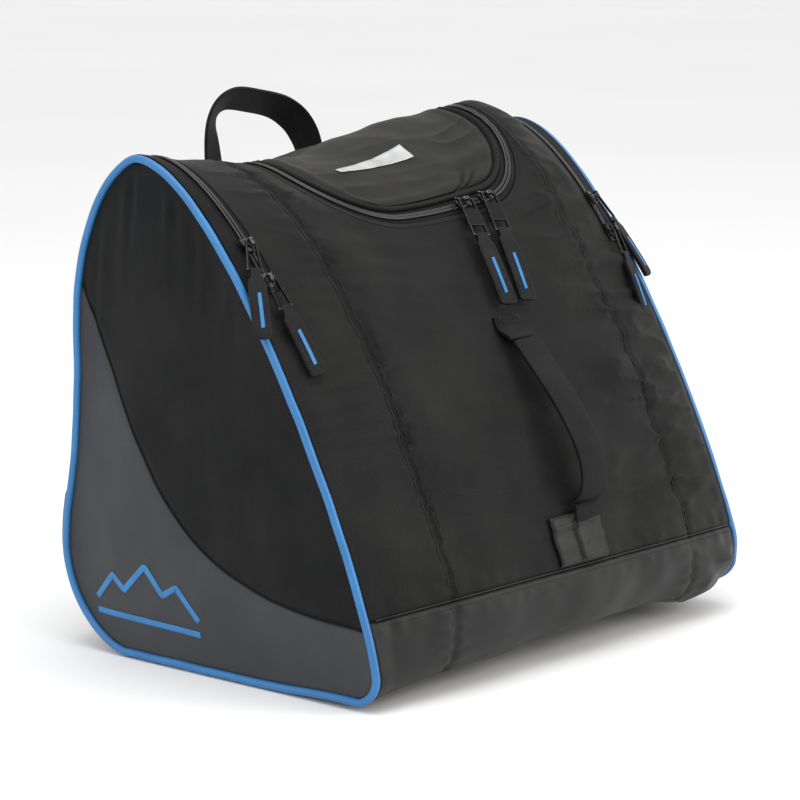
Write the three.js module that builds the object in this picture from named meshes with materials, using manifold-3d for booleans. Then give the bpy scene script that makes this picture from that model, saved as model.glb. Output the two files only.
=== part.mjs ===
// Ski boot bag: a soft shell between two end panels, with a zipped lid on top, a boot pocket at
// each end that opens with a zipped flap, a padded back with two shoulder straps, a grab handle
// at the back and a haul handle down the front. Millimetres, +Z up, front towards -Y. The origin
// is on the floor under the middle of the base.
import * as THREE from 'three';
import { mergeVertices } from 'three/addons/utils/BufferGeometryUtils.js';
import Module from 'manifold-3d';

const wasm = await Module();
wasm.setup();

// ---------------------------------------------------------------- driving sizes

// The whole bag.
const width = 440; // across both pipings
const depth = 314; // front foot to back foot
const height = 372; // floor to the crown of the end panels

// Side outline: the foot curves, the leaning front, the crown and the upright back.
const frontFoot = { rise: 26, tuck: 27, round: 0.6 }; // round: share of the rise that its pulls take
const frontSlope = { lean: 0.168, footPull: 76, crownPull: 85 };
const crown = { back: 74, pull: 18.6 }; // how far the highest line lies behind the middle
const shoulder = { inFromFoot: 15.5, height: 242, pullUp: 86, pullDown: 124 };
const backFoot = { bulgeHeight: 78, pullUp: 44, pullDown: 40, tuck: 75, tuckPull: 39 };

// How the stuffed cloth departs from the outline between the end panels.
const topSag = 20;
const sagStart = 10; // along the outline from the crown, either way
const sagReach = { front: 200, back: 50 }; // how far along the outline the sag fades out
// The right pocket is stuffed fuller: its top rises from low to full and falls again to the end.
const topPuff = { rise: 26, low: -40, full: 150, fall: 145, front: 160, back: 50 };
const frontFullness = 18;
const fullnessRise = 90; // along the outline, from the foot
const fullnessFade = { before: 120, after: 20 }; // along the outline, from the crown

// Cloth, boards and the gaps that separate them.
const seamGap = 0.6;
const shellCloth = 3;
const endCloth = 3;
const endFaceIn = 4; // outer face of an end panel, in from the piping's edge
const baseCloth = 2.5;
const boardThick = 3;
const boardMargin = 22;
const backPad = 9; // thickness of the padded back
const backPadProud = 3;
const backPadFade = { top: 20, foot: 40, length: 50 }; // where the padding swells and ends
const dividerThick = 3;
const dividerHeight = 215;
const pocketWidth = 117; // room for one boot, end panel to divider
const dividerClear = 4;
const pipingDiameter = 7;
const pipingProud = 1;
const pipingGap = 0.3;
const pipingFoot = 6; // along the outline, from its ends to where the piping meets the floor line
const endRimGap = 2.2; // piping to the end panel's flat cloth

// Heights of the seams and zip ends on the outline.
const bandHeight = 63;
const bootZipFrontHeight = 278;
const bootZipBackHeight = 118;
const backSeamHeight = 300;
const foldGap = 1.2;

// Panels across the bag.
const gussetSeam = 141; // middle of the bag to the seam between front panel and gusset
const bootZipLine = 197; // middle of the bag to the boot pocket zip
const tapeWidth = 6.5; // one side of a zip's tape, with half the coil
const tapeThick = 1.6;
const tapeInset = 0.4;
const coilWidth = 2.6;
const coilProud = 1.2;
const coilGap = 0.4;

// The lid.
const lidHalfWidth = 116; // the lid's middle line to its zip
const lidShift = 15; // the lid's middle line, towards +X
const lidCorner = 68;
const lidPathSteps = 24;
const lidFrontHeight = 318;
const lidHingeBehindCrown = 52;
const lidCloth = 4;
const lidCrown = { rise: 13, front: 0.06, back: 0.68 }; // shares of a half wave, front to back
const bindingWidth = 6;
const bindingProud = 2.2;
const lidEdgeGap = 1.5; // lid cloth to binding

// The curve between the grey and the black cloth of an end panel, as (y, z) pulls.
const greySeam = {
  top: [133.7, 273.7],
  topPull: [41.1, 104.6],
  footPull: [35.4, 64.3],
  foot: [-170, 55.2],
};

// Zip pullers: slider, metal pull and webbing tab.
const slider = { width: 9, length: 13, thick: 2.6, clear: 0.4 };
const bridge = { width: 3, length: 5.4, high: 4.8, hole: 1.8 }; // hole: its radius
const pullBar = 1.6; // diameter of the bars that pull and tab turn on
const barClear = 0.35;
// plate: where the closed middle of a lid pull starts and ends, from its top bar and its foot.
const lidPull = { length: 34, topWidth: 14, footWidth: 16, rail: 2, plate: { top: 9.5, foot: 9 } };
const bootPull = { length: 24, topWidth: 8.5, footWidth: 12.5, rail: 1.7 };
const lidTab = { length: 62, width: 16 };
const bootTab = { length: 54, width: 14 };
const tabThick = 3.6;
const tabNeck = { narrow: 5.4, length: 9 }; // the narrow loop at the top of a tab, and its widening
const lidSliderPlaces = { left: { x: 35, travel: -58 }, right: { x: 62, travel: 10 } };
// How a hanging pull lies: degrees sideways, and down towards the cloth from the slider's plane.
const lidHang = { sway: -12, pull: -7, tab: -3, clear: 2.2 }; // clear: its tab to the cloth below
const bootSliderPlaces = { lower: 9, upper: 39 }; // up from the zip's front end
const bootHang = {
  lower: { sway: -4, pull: -5, tab: -2, clear: 0.9 }, // sway is towards the end panel
  upper: { sway: 22, pull: -3, tab: -3, clear: 0.9 },
};

// The grab handle.
const grab = { span: 114, footBelow: 34, rise: 24, thick: 2.6, width: 24, bend: 34, clear: 1.5 };

// The haul handle, its sewn top end and its patch, as places along the outline.
const haul = {
  width: 29,
  thick: 2.6,
  shift: 16, // its middle line, towards +X
  lowEnd: 127,
  highEnd: 252,
  stand: 7.5,
  bow: 18,
  anchorLength: 22,
  clear: 3,
};
const haulPatch = { width: 52, length: 34, thick: 1.8, aboveBand: 4, shift: 4 };

// The shoulder straps on the back.
const strap = {
  topX: 48,
  lowX: 118,
  padTop: 236,
  padLow: 150,
  lowEnd: 62,
  padWidth: 52,
  padThick: 9,
  webWidth: 25,
  webThick: 2,
  stand: 11,
  bow: 20,
  bendOut: 22,
};
const adjuster = { width: 34, length: 24, thick: 5, clear: 0.8 };

// ---------------------------------------------------------------- finishes

const finish = (color, roughness, metalness = 0) =>
  new THREE.MeshStandardMaterial({ color, roughness, metalness });
const blackCloth = finish(0x232425, 0.85);
const greyCloth = finish(0x45464a, 0.6);
const bandCloth = finish(0x2f3030, 0.55);
const liningCloth = finish(0x1b1c1e, 0.9);
const meshCloth = finish(0x17181a, 0.95);
const bluePiping = finish(0x2f86c1, 0.45);
const zipNylon = finish(0x101113, 0.35);
const gunmetal = finish(0x2c2d30, 0.3, 0.9);
const webbing = finish(0x141517, 0.8);
const boardPlastic = finish(0x26272a, 0.6);
const buckleNylon = finish(0x18191b, 0.45);

const bag = new THREE.Group();
bag.userData.axes = {}; // the line that each moving piece turns about or slides along

function add(name, geometry, material, parent = bag) {
  const mesh = new THREE.Mesh(geometry, material);
  mesh.name = name;
  parent.add(mesh);
  return mesh;
}

function addAxis(name, at, along) {
  bag.userData.axes[name] = { at: at.clone(), along: along.clone().normalize() };
}

// ---------------------------------------------------------------- side outline

const { lerp, smoothstep, clamp, degToRad } = THREE.MathUtils;
const frontY = -depth / 2;
const backY = depth / 2;
const shoulderY = backY - shoulder.inFromFoot;

function sideOutline() {
  const path = new THREE.Path();
  const footRun = frontFoot.rise * frontFoot.round;
  path.moveTo(frontY + frontFoot.tuck, 0);
  path.bezierCurveTo(
    frontY + frontFoot.tuck - footRun, 0,
    frontY - frontSlope.lean * footRun, frontFoot.rise - footRun,
    frontY, frontFoot.rise,
  );
  path.bezierCurveTo(
    frontY + frontSlope.lean * frontSlope.footPull, frontFoot.rise + frontSlope.footPull,
    crown.back - frontSlope.crownPull, height,
    crown.back, height,
  );
  path.bezierCurveTo(
    crown.back + crown.pull, height,
    shoulderY, shoulder.height + shoulder.pullUp,
    shoulderY, shoulder.height,
  );
  path.bezierCurveTo(
    shoulderY, shoulder.height - shoulder.pullDown,
    backY, backFoot.bulgeHeight + backFoot.pullUp,
    backY, backFoot.bulgeHeight,
  );
  path.bezierCurveTo(
    backY, backFoot.bulgeHeight - backFoot.pullDown,
    backY - backFoot.tuck + backFoot.tuckPull, 0,
    backY - backFoot.tuck, 0,
  );
  return path;
}

const outline = sideOutline();
const outlineLength = outline.getLength();
const traceSteps = 900;
const trace = outline.getSpacedPoints(traceSteps);

// The place and the outward direction at a distance along the outline.
function outlineAt(run) {
  const place = clamp(run / outlineLength, 0, 1) * traceSteps;
  const step = Math.min(Math.floor(place), traceSteps - 1);
  const spot = trace[step].clone().lerp(trace[step + 1], place - step);
  const along = trace[Math.min(step + 2, traceSteps)].clone().sub(trace[Math.max(step - 1, 0)]);
  along.normalize();
  return { y: spot.x, z: spot.y, outY: -along.y, outZ: along.x };
}

const traceRun = (index) => (index / traceSteps) * outlineLength;
const frontRun = (high) => traceRun(trace.findIndex((spot) => spot.y >= high));
const backRun = (high) => traceRun(trace.findLastIndex((spot) => spot.y >= high));
const crownRun = traceRun(trace.reduce((top, spot, i) => (spot.y > trace[top].y ? i : top), 0));

// ---------------------------------------------------------------- the stuffed shell

const endInner = width / 2 - pipingDiameter - pipingGap; // where the shell's cloth stops

// One at the crown, falling to none at the reach in front of it and behind it.
function fadeFromCrown(run, reach) {
  const away = Math.abs(run - crownRun);
  return 1 - smoothstep(away, sagStart, run < crownRun ? reach.front : reach.back);
}

function sagAt(run, x) {
  const across = 1 - Math.min(Math.abs(x) / endInner, 1) ** 2;
  return topSag * across * fadeFromCrown(run, sagReach);
}

function puffAt(run, x) {
  const rising = smoothstep(x, topPuff.low, topPuff.full);
  const falling = 1 - smoothstep(x, topPuff.fall, endInner);
  return topPuff.rise * rising * falling * fadeFromCrown(run, topPuff);
}

function fullnessAt(run, x) {
  const across = 1 - Math.min(Math.abs(x) / endInner, 1) ** 4;
  const low = smoothstep(run, 0, fullnessRise);
  const fromCrown = run - crownRun;
  const high = smoothstep(fromCrown, -fullnessFade.before, fullnessFade.after);
  return frontFullness * across * low * (1 - high);
}

// A point on the shell, or under it by the inset.
function onShell(run, x, inset = 0) {
  const spot = outlineAt(run);
  const out = fullnessAt(run, x) - inset;
  const lift = puffAt(run, x) - sagAt(run, x);
  return new THREE.Vector3(x, spot.y + spot.outY * out, spot.z + spot.outZ * out + lift);
}

const steps = (low, high, count) =>
  Array.from({ length: count + 1 }, (_, i) => lerp(low, high, i / count));

// A box whose points are all moved by a rule: u and v run over its face, w from inner to outer.
function bentBox(uCount, vCount, place) {
  const box = new THREE.BoxGeometry(1, 1, 1, uCount, vCount, 1);
  const spots = box.attributes.position;
  for (let i = 0; i < spots.count; i += 1) {
    const to = place(spots.getX(i) + 0.5, spots.getY(i) + 0.5, spots.getZ(i) + 0.5);
    spots.setXYZ(i, to.x, to.y, to.z);
  }
  return box;
}

// A piece of the shell between stations along the outline and stations across the bag. The
// stations across and the two insets may change along the outline.
function shellPiece(runs, acrossAt, outerAt, innerAt) {
  const count = acrossAt(runs[0]).length - 1;
  return bentBox(count, runs.length - 1, (u, v, w) => {
    const run = runs[Math.round(v * (runs.length - 1))];
    const x = acrossAt(run)[Math.round(u * count)];
    return onShell(run, x, w > 0.5 ? outerAt(run, x) : innerAt(run, x));
  });
}

// Stations between two distances from the middle, on one side of the bag, in rising order.
const sideways = (side, distances) => distances.map((d) => side * d).sort((a, b) => a - b);

const flat = (value) => () => value;

// A flat plate across the bag, from an outline in (y, z).
function sidePlate(points, lowX, highX) {
  const shape = new THREE.Shape(points.map(([y, z]) => new THREE.Vector2(y, z)));
  const plate = new THREE.ExtrudeGeometry(shape, { depth: highX - lowX, bevelEnabled: false });
  const axes = new THREE.Matrix4().makeBasis(
    new THREE.Vector3(0, 1, 0),
    new THREE.Vector3(0, 0, 1),
    new THREE.Vector3(1, 0, 0),
  );
  plate.applyMatrix4(axes);
  plate.translate(lowX, 0, 0);
  return plate;
}

// ---------------------------------------------------------------- cutting and joining

function toSolid(geometry) {
  const bare = geometry.index ? geometry.toNonIndexed() : geometry.clone();
  bare.deleteAttribute('normal');
  bare.deleteAttribute('uv');
  const merged = mergeVertices(bare, 1e-4);
  return new wasm.Manifold(new wasm.Mesh({
    numProp: 3,
    vertProperties: new Float32Array(merged.attributes.position.array),
    triVerts: new Uint32Array(merged.index.array),
  }));
}

function toGeometry(solid) {
  const mesh = solid.getMesh();
  const geometry = new THREE.BufferGeometry();
  geometry.setAttribute('position', new THREE.BufferAttribute(mesh.vertProperties, 3));
  geometry.setIndex(new THREE.BufferAttribute(mesh.triVerts, 1));
  return geometry;
}

// ---------------------------------------------------------------- base, band and front

const bandRun = frontRun(bandHeight);
const backSeamRun = backRun(backSeamHeight);
const bootZipFrontRun = frontRun(bootZipFrontHeight);
const bootZipBackRun = backRun(bootZipBackHeight);
const lidFrontRun = frontRun(lidFrontHeight);
const lidHingeRun = crownRun + lidHingeBehindCrown;
const tapeInner = bootZipLine - coilGap / 2 - tapeWidth;
const halfSeam = seamGap / 2;

function addBase() {
  const front = frontY + frontFoot.tuck + halfSeam;
  const back = backY - backFoot.tuck - halfSeam;
  const cloth = new THREE.BoxGeometry(2 * endInner, back - front, baseCloth);
  cloth.translate(0, (front + back) / 2, baseCloth / 2);
  add('base_panel', cloth, bandCloth);
  const board = new THREE.BoxGeometry(
    2 * (endInner - boardMargin),
    back - front - boardMargin / 2,
    boardThick,
  );
  board.translate(0, (front + back) / 2, baseCloth + seamGap + boardThick / 2);
  add('base_board', board, boardPlastic);
}

function addBand() {
  const across = flat(steps(-endInner, endInner, 10));
  const runs = steps(0, bandRun - halfSeam, 7);
  add('front_band', shellPiece(runs, across, flat(0), flat(shellCloth)), bandCloth);
}

// The path round the lid, from the hinge's left end by the front to its right end: fraction
// along it, and how far outside the lid's edge.
function lidPath(fraction, outside) {
  const cornerRun = lidFrontRun + lidCorner;
  const armLength = lidHingeRun - cornerRun;
  const cornerX = lidHalfWidth - lidCorner;
  const radius = lidCorner + outside;
  const arc = (Math.PI / 2) * lidCorner;
  const lengths = [armLength, arc, 2 * cornerX, arc, armLength];
  let rest = fraction * lengths.reduce((a, b) => a + b);
  const stretch = lengths.findIndex((length, i) => {
    if (rest <= length + 1e-6 || i === lengths.length - 1) return true;
    rest -= length;
    return false;
  });
  const part = rest / lengths[stretch];
  if (stretch === 0) return { run: lerp(lidHingeRun, cornerRun, part), x: -lidHalfWidth - outside };
  if (stretch === 2) return { run: lidFrontRun - outside, x: lerp(-cornerX, cornerX, part) };
  if (stretch === 4) return { run: lerp(cornerRun, lidHingeRun, part), x: lidHalfWidth + outside };
  const turn = (part * Math.PI) / 2;
  if (stretch === 1) {
    return { run: cornerRun - radius * Math.sin(turn), x: -cornerX - radius * Math.cos(turn) };
  }
  return { run: cornerRun - radius * Math.cos(turn), x: cornerX + radius * Math.sin(turn) };
}

// A ribbon round the lid between two distances outside its edge. The insets of its faces may
// change across it.
function lidRibbon(edges, outerAt, innerAt, startTrim = 0) {
  const cross = edges.length - 1;
  return bentBox(lidPathSteps, cross, (u, v, w) => {
    const outside = edges[cross - Math.round(v * cross)];
    const spot = lidPath(u, outside);
    const run = Math.min(spot.run, lidHingeRun - startTrim);
    return onShell(run, spot.x + lidShift, w > 0.5 ? outerAt(outside) : innerAt(outside));
  });
}

const zipInset = (inCoil) => (inCoil ? -coilProud : tapeInset);
const lidGap = bindingWidth + tapeWidth + coilGap / 2; // from the lid cloth's edge to the zip's line
const lidZipOuterEdge = lidGap + coilGap / 2 + tapeWidth;

function addFrontPanel() {
  const outsideEdge = lidZipOuterEdge + seamGap;
  const lowRun = bandRun + halfSeam;
  const side = gussetSeam - halfSeam;
  const panel = bentBox(lidPathSteps, 9, (u, v, w) => {
    const inner = lidPath(u, outsideEdge - lidGap);
    const turn = u * 2 - 1;
    const reach = Math.abs(turn);
    const armShare = 0.5;
    const outer = reach > armShare
      ? { run: lerp(lowRun, lidHingeRun, (reach - armShare) / (1 - armShare)), x: Math.sign(turn) * side }
      : { run: lowRun, x: (turn / armShare) * side };
    const run = lerp(outer.run, Math.min(inner.run, lidHingeRun), v);
    return onShell(run, lerp(outer.x, inner.x + lidShift, v), w > 0.5 ? 0 : shellCloth);
  });
  add('front_panel', panel, blackCloth);
}

function addGusset(side, word) {
  const wide = endInner;
  const narrow = tapeInner - seamGap;
  const runs = [
    ...steps(bandRun + halfSeam, bootZipFrontRun - seamGap, 9),
    ...steps(bootZipFrontRun, backSeamRun - halfSeam, 11),
  ];
  const across = (run) => {
    const outer = run < bootZipFrontRun ? wide : narrow;
    return sideways(side, steps(gussetSeam + halfSeam, outer, 3));
  };
  add(`${word}_gusset`, shellPiece(runs, across, flat(0), flat(shellCloth)), blackCloth);
}

function addBack() {
  const wide = endInner;
  const narrow = tapeInner - seamGap;
  const runs = [
    ...steps(backSeamRun + halfSeam, bootZipBackRun, 6),
    ...steps(bootZipBackRun + seamGap, outlineLength, 8),
  ];
  const across = (run) => {
    const outer = run <= bootZipBackRun ? narrow : wide;
    return steps(-outer, outer, 6);
  };
  const proud = (run) => {
    const fromTop = smoothstep(run, backSeamRun, backSeamRun + backPadFade.top);
    const footStart = outlineLength - backPadFade.foot;
    const fromFoot = 1 - smoothstep(run, footStart - backPadFade.length, footStart);
    return -backPadProud * fromTop * fromFoot;
  };
  const under = (run) => proud(run) + lerp(shellCloth, backPad, proud(run) / -backPadProud);
  add('back_panel', shellPiece(runs, across, proud, under), meshCloth);
  const yokeRuns = steps(lidHingeRun + halfSeam, backSeamRun - halfSeam, 3);
  const yokeAcross = flat(steps(-gussetSeam + halfSeam, gussetSeam - halfSeam, 8));
  add('back_yoke', shellPiece(yokeRuns, yokeAcross, flat(0), flat(shellCloth)), blackCloth);
}

// ---------------------------------------------------------------- the lid

function addLid() {
  const hingeTrim = halfSeam + seamGap;
  const half = lidHalfWidth - lidGap - lidEdgeGap;
  const corner = lidCorner - lidGap - lidEdgeGap;
  const front = lidFrontRun + lidGap + lidEdgeGap;
  const cloth = bentBox(10, 8, (u, v, w) => {
    const run = lerp(front, lidHingeRun - hingeTrim, v);
    const intoCorner = Math.max(corner - (run - front), 0);
    const reach = half - corner + Math.sqrt(Math.max(corner ** 2 - intoCorner ** 2, 0));
    const across = u * 2 - 1;
    const wave = Math.sin(Math.PI * lerp(lidCrown.front, lidCrown.back, v));
    const dome = lidCrown.rise * (1 - across ** 2) * wave;
    return onShell(run, lidShift + across * reach, -dome + (w > 0.5 ? 0 : lidCloth));
  });
  add('lid_panel', cloth, blackCloth);
  const hingeSpot = onShell(lidHingeRun - hingeTrim / 2, lidHalfWidth - lidGap, -bindingProud);
  addAxis('lid', hingeSpot.setX(0), new THREE.Vector3(-1, 0, 0));

  const binding = [-lidGap, -lidGap + bindingWidth - seamGap];
  add('lid_binding', lidRibbon(binding, flat(-bindingProud), flat(shellCloth), hingeTrim), blackCloth);

  const innerTape = [
    -lidGap + bindingWidth,
    -coilGap / 2 - coilWidth,
    -coilGap / 2 - coilWidth + 0.1,
    -coilGap / 2,
  ];
  const innerTop = (outside) => zipInset(outside > innerTape[1] + 0.05);
  const under = flat(tapeInset + tapeThick);
  add('lid_zip_inner', lidRibbon(innerTape, innerTop, under, hingeTrim), zipNylon);

  const outerTape = innerTape.map((outside) => -outside).reverse();
  outerTape[outerTape.length - 1] = coilGap / 2 + tapeWidth;
  const outerTop = (outside) => zipInset(outside < outerTape[1] + 0.05);
  add('lid_zip_outer', lidRibbon(outerTape, outerTop, under), zipNylon);
}

// ---------------------------------------------------------------- end panels and boot flaps

const foldFront = outlineAt(bootZipFrontRun);
const foldBack = outlineAt(bootZipBackRun);

// The region on one side of a line in (y, z): the line shifted sideways, closed by far corners.
function regionPrism(line, shift, farCorners) {
  const moved = line.map((spot, i) => {
    const before = line[Math.max(i - 1, 0)];
    const after = line[Math.min(i + 1, line.length - 1)];
    const along = new THREE.Vector2(after[0] - before[0], after[1] - before[1]).normalize();
    return [spot[0] - along.y * shift, spot[1] + along.x * shift];
  });
  return toSolid(sidePlate([...moved, ...farCorners], -width, width));
}

function endRegions() {
  const far = depth + height;
  const curve = new THREE.CubicBezierCurve(
    new THREE.Vector2(...greySeam.top),
    new THREE.Vector2(...greySeam.topPull),
    new THREE.Vector2(...greySeam.footPull),
    new THREE.Vector2(...greySeam.foot),
  );
  const seam = curve.getPoints(18).map((spot) => [spot.x, spot.y]).reverse();
  seam.push([far, greySeam.top[1]]); // level, past the panel's edge
  const fold = [
    [foldFront.y - (foldBack.y - foldFront.y), foldFront.z - (foldBack.z - foldFront.z)],
    [foldFront.y, foldFront.z],
    [foldBack.y, foldBack.z],
    [foldBack.y + (foldBack.y - foldFront.y), foldBack.z + (foldBack.z - foldFront.z)],
  ];
  return {
    grey: regionPrism(seam, -seamGap / 2, [[far, -far], [-far, -far]]),
    black: regionPrism(seam, seamGap / 2, [[far, far], [-far, far]]),
    lower: regionPrism(fold, -foldGap / 2, [[far, -far], [-far, -far]]),
    upper: regionPrism(fold, foldGap / 2, [[far, far], [-far, far]]),
  };
}

function addFlapAxis(side, word) {
  const spot = ({ y, z }) => new THREE.Vector3(side * width / 2, y, z);
  const along = spot(foldBack).sub(spot(foldFront)).multiplyScalar(side);
  addAxis(`${word}_flap`, spot(foldFront).lerp(spot(foldBack), 0.5), along);
}

function addEnd(side, word, regions) {
  const outerX = side * (width / 2 - endFaceIn);
  const innerX = outerX - side * endCloth;
  const rim = pipingDiameter - pipingProud + endRimGap;
  const floorRim = pipingDiameter + pipingGap + endRimGap;
  const edge = steps(0, outlineLength, 56).map((run) => {
    const spot = outlineAt(run);
    return [spot.y - spot.outY * rim, Math.max(spot.z - spot.outZ * rim, floorRim)];
  });
  const panel = toSolid(sidePlate(edge, Math.min(outerX, innerX), Math.max(outerX, innerX)));
  for (const level of ['lower', 'upper']) {
    const level3d = panel.intersect(regions[level]);
    add(`${word}_end_black_${level}`, toGeometry(level3d.intersect(regions.black)), blackCloth);
    add(`${word}_end_grey_${level}`, toGeometry(level3d.intersect(regions.grey)), greyCloth);
  }
}

// A tube of piping round part of an end panel's rim.
function pipingTube(spots, count) {
  const radius = pipingDiameter / 2;
  const route = new THREE.CatmullRomCurve3(spots);
  const section = new THREE.Shape().absarc(0, 0, radius, 0, Math.PI * 2);
  return new THREE.ExtrudeGeometry(section, {
    steps: count,
    curveSegments: 4,
    extrudePath: route,
    bevelEnabled: false,
  });
}

function addPiping(side, word) {
  const inset = pipingDiameter / 2 - pipingProud;
  const x = side * (width / 2 - pipingDiameter / 2);
  const spotAt = (run) => {
    const spot = outlineAt(run);
    return new THREE.Vector3(x, spot.y - spot.outY * inset, Math.max(
      spot.z - spot.outZ * inset,
      pipingDiameter / 2 + pipingGap,
    ));
  };
  const upper = steps(bootZipFrontRun + foldGap, bootZipBackRun - 3 * foldGap, 22).map(spotAt);
  add(`${word}_piping_upper`, pipingTube(upper, 20), bluePiping);
  const backEnd = outlineLength - pipingFoot;
  const backStretch = steps(bootZipBackRun + 2 * foldGap, backEnd, 8).map(spotAt);
  const frontStretch = steps(pipingFoot, bootZipFrontRun - foldGap, 12).map(spotAt);
  const floor = steps(backStretch.at(-1).y, frontStretch[0].y, 5).slice(1, -1)
    .map((y) => new THREE.Vector3(x, y, pipingDiameter / 2 + pipingGap));
  const lower = [...backStretch, ...floor, ...frontStretch];
  add(`${word}_piping_lower`, pipingTube(lower, 44), bluePiping);
}

function addBootZip(side, word) {
  const runs = steps(bootZipFrontRun + seamGap, bootZipBackRun - seamGap, 18);
  const innerEdges = [
    tapeInner,
    bootZipLine - coilGap / 2 - coilWidth,
    bootZipLine - coilGap / 2 - coilWidth + 0.1,
    bootZipLine - coilGap / 2,
  ];
  const outerEdges = [
    bootZipLine + coilGap / 2,
    bootZipLine + coilGap / 2 + coilWidth - 0.1,
    bootZipLine + coilGap / 2 + coilWidth,
    endInner,
  ];
  const inCoil = (x) => Math.abs(Math.abs(x) - bootZipLine) < coilGap / 2 + coilWidth - 0.05;
  const top = (run, x) => zipInset(inCoil(x));
  const under = flat(tapeInset + tapeThick);
  const piece = (edges) => shellPiece(runs, flat(sideways(side, edges)), top, under);
  add(`${word}_zip_inner`, piece(innerEdges), zipNylon);
  add(`${word}_zip_outer`, piece(outerEdges), zipNylon);
}

// ---------------------------------------------------------------- inside

function addDivider(side, word) {
  const x = side * (width / 2 - endFaceIn - endCloth - pocketWidth);
  const floorHeight = baseCloth + boardThick + 2 * seamGap;
  const wall = (lowRun, highRun, under, count) => steps(lowRun, highRun, count)
    .map((run) => onShell(run, x, under))
    .filter((spot) => spot.z > floorHeight)
    .map((spot) => [spot.y, spot.z]);
  const points = [
    [frontY + frontFoot.tuck, floorHeight],
    ...wall(0, frontRun(dividerHeight), shellCloth + dividerClear, 12),
    ...wall(backRun(dividerHeight), outlineLength, backPad + dividerClear, 10),
    [backY - backFoot.tuck, floorHeight],
  ];
  const half = dividerThick / 2;
  add(`${word}_divider`, sidePlate(points, x - half, x + half), liningCloth);
}

// ---------------------------------------------------------------- zip pullers

// The slider: a base over the coil and a bridge that the pull's top bar turns in.
function sliderBody(alongX) {
  const low = coilProud + slider.clear;
  const across = alongX ? slider.length : slider.width;
  const upSlope = alongX ? slider.width : slider.length;
  const base = new THREE.BoxGeometry(across, upSlope, slider.thick);
  base.translate(0, 0, low + slider.thick / 2);
  const bridgeTall = bridge.high + slider.thick / 2;
  const arch = new THREE.BoxGeometry(bridge.width, bridge.length, bridgeTall);
  arch.translate(0, 0, low + slider.thick / 2 + bridgeTall / 2);
  const hole = new THREE.CylinderGeometry(bridge.hole, bridge.hole, slider.width, 12);
  hole.rotateZ(Math.PI / 2);
  hole.translate(0, 0, barHeight);
  return toGeometry(toSolid(base).add(toSolid(arch)).subtract(toSolid(hole)));
}

const barHeight = coilProud + slider.clear + slider.thick + bridge.high / 2;

// The pull: a flat frame hanging along -Y from its top bar at the origin. Its windows leave a
// round-ish bar at the top for the bridge and one at the foot for the tab.
function pullFrame(size) {
  const top = pullBar / 2;
  const foot = -size.length;
  const widthAt = (y) => lerp(size.footWidth, size.topWidth, (y - foot) / (top - foot)) / 2;
  const ring = (high, low, inset) => [
    [widthAt(high) - inset, high],
    [-widthAt(high) + inset, high],
    [-widthAt(low) + inset, low],
    [widthAt(low) - inset, low],
  ];
  const toPoints = (ringPoints) => ringPoints.map(([x, y]) => new THREE.Vector2(x, y));
  const shape = new THREE.Shape(toPoints(ring(top, foot, 0)));
  const windows = size.plate
    ? [[-pullBar / 2, -size.plate.top], [foot + size.plate.foot, foot + pullBar]]
    : [[-pullBar / 2, foot + pullBar]];
  for (const [high, low] of windows) {
    shape.holes.push(new THREE.Path(toPoints(ring(high, low, size.rail))));
  }
  const frame = new THREE.ExtrudeGeometry(shape, { depth: pullBar, bevelEnabled: false });
  frame.translate(0, 0, -pullBar / 2);
  return frame;
}

// The tab: a narrow loop round the pull's foot bar at the origin, and a wide sewn end.
function tabStrap(size, pull) {
  const neck = pull.footWidth / 2 - pull.rail - 2 * barClear;
  const half = size.width / 2;
  const shape = new THREE.Shape([
    new THREE.Vector2(neck, tabThick / 2),
    new THREE.Vector2(-neck, tabThick / 2),
    new THREE.Vector2(-neck, -tabNeck.narrow),
    new THREE.Vector2(-half, -tabNeck.length),
    new THREE.Vector2(-half, -size.length),
    new THREE.Vector2(half, -size.length),
    new THREE.Vector2(half, -tabNeck.length),
    new THREE.Vector2(neck, -tabNeck.narrow),
  ]);
  const strapSolid = new THREE.ExtrudeGeometry(shape, { depth: tabThick, bevelEnabled: false });
  strapSolid.translate(0, 0, -tabThick / 2);
  const reach = pullBar / Math.SQRT2 + barClear;
  const hole = new THREE.CylinderGeometry(reach, reach, 2 * half, 12);
  hole.rotateZ(Math.PI / 2);
  return toGeometry(toSolid(strapSolid).subtract(toSolid(hole)));
}

// The extra angle at which a pull stands off where the cloth below it swells more than the given
// hang allows for.
function hangRoom(spot, out, { run, x }, down, hang) {
  const heights = steps(down / 3, down, 6).map((far) => {
    const swell = onShell(run - far, x).sub(spot).dot(out);
    return Math.atan((swell + hang.clear - barHeight) / far);
  });
  return Math.max(Math.max(...heights) - degToRad(hang.pull + hang.tab), 0);
}

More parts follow.
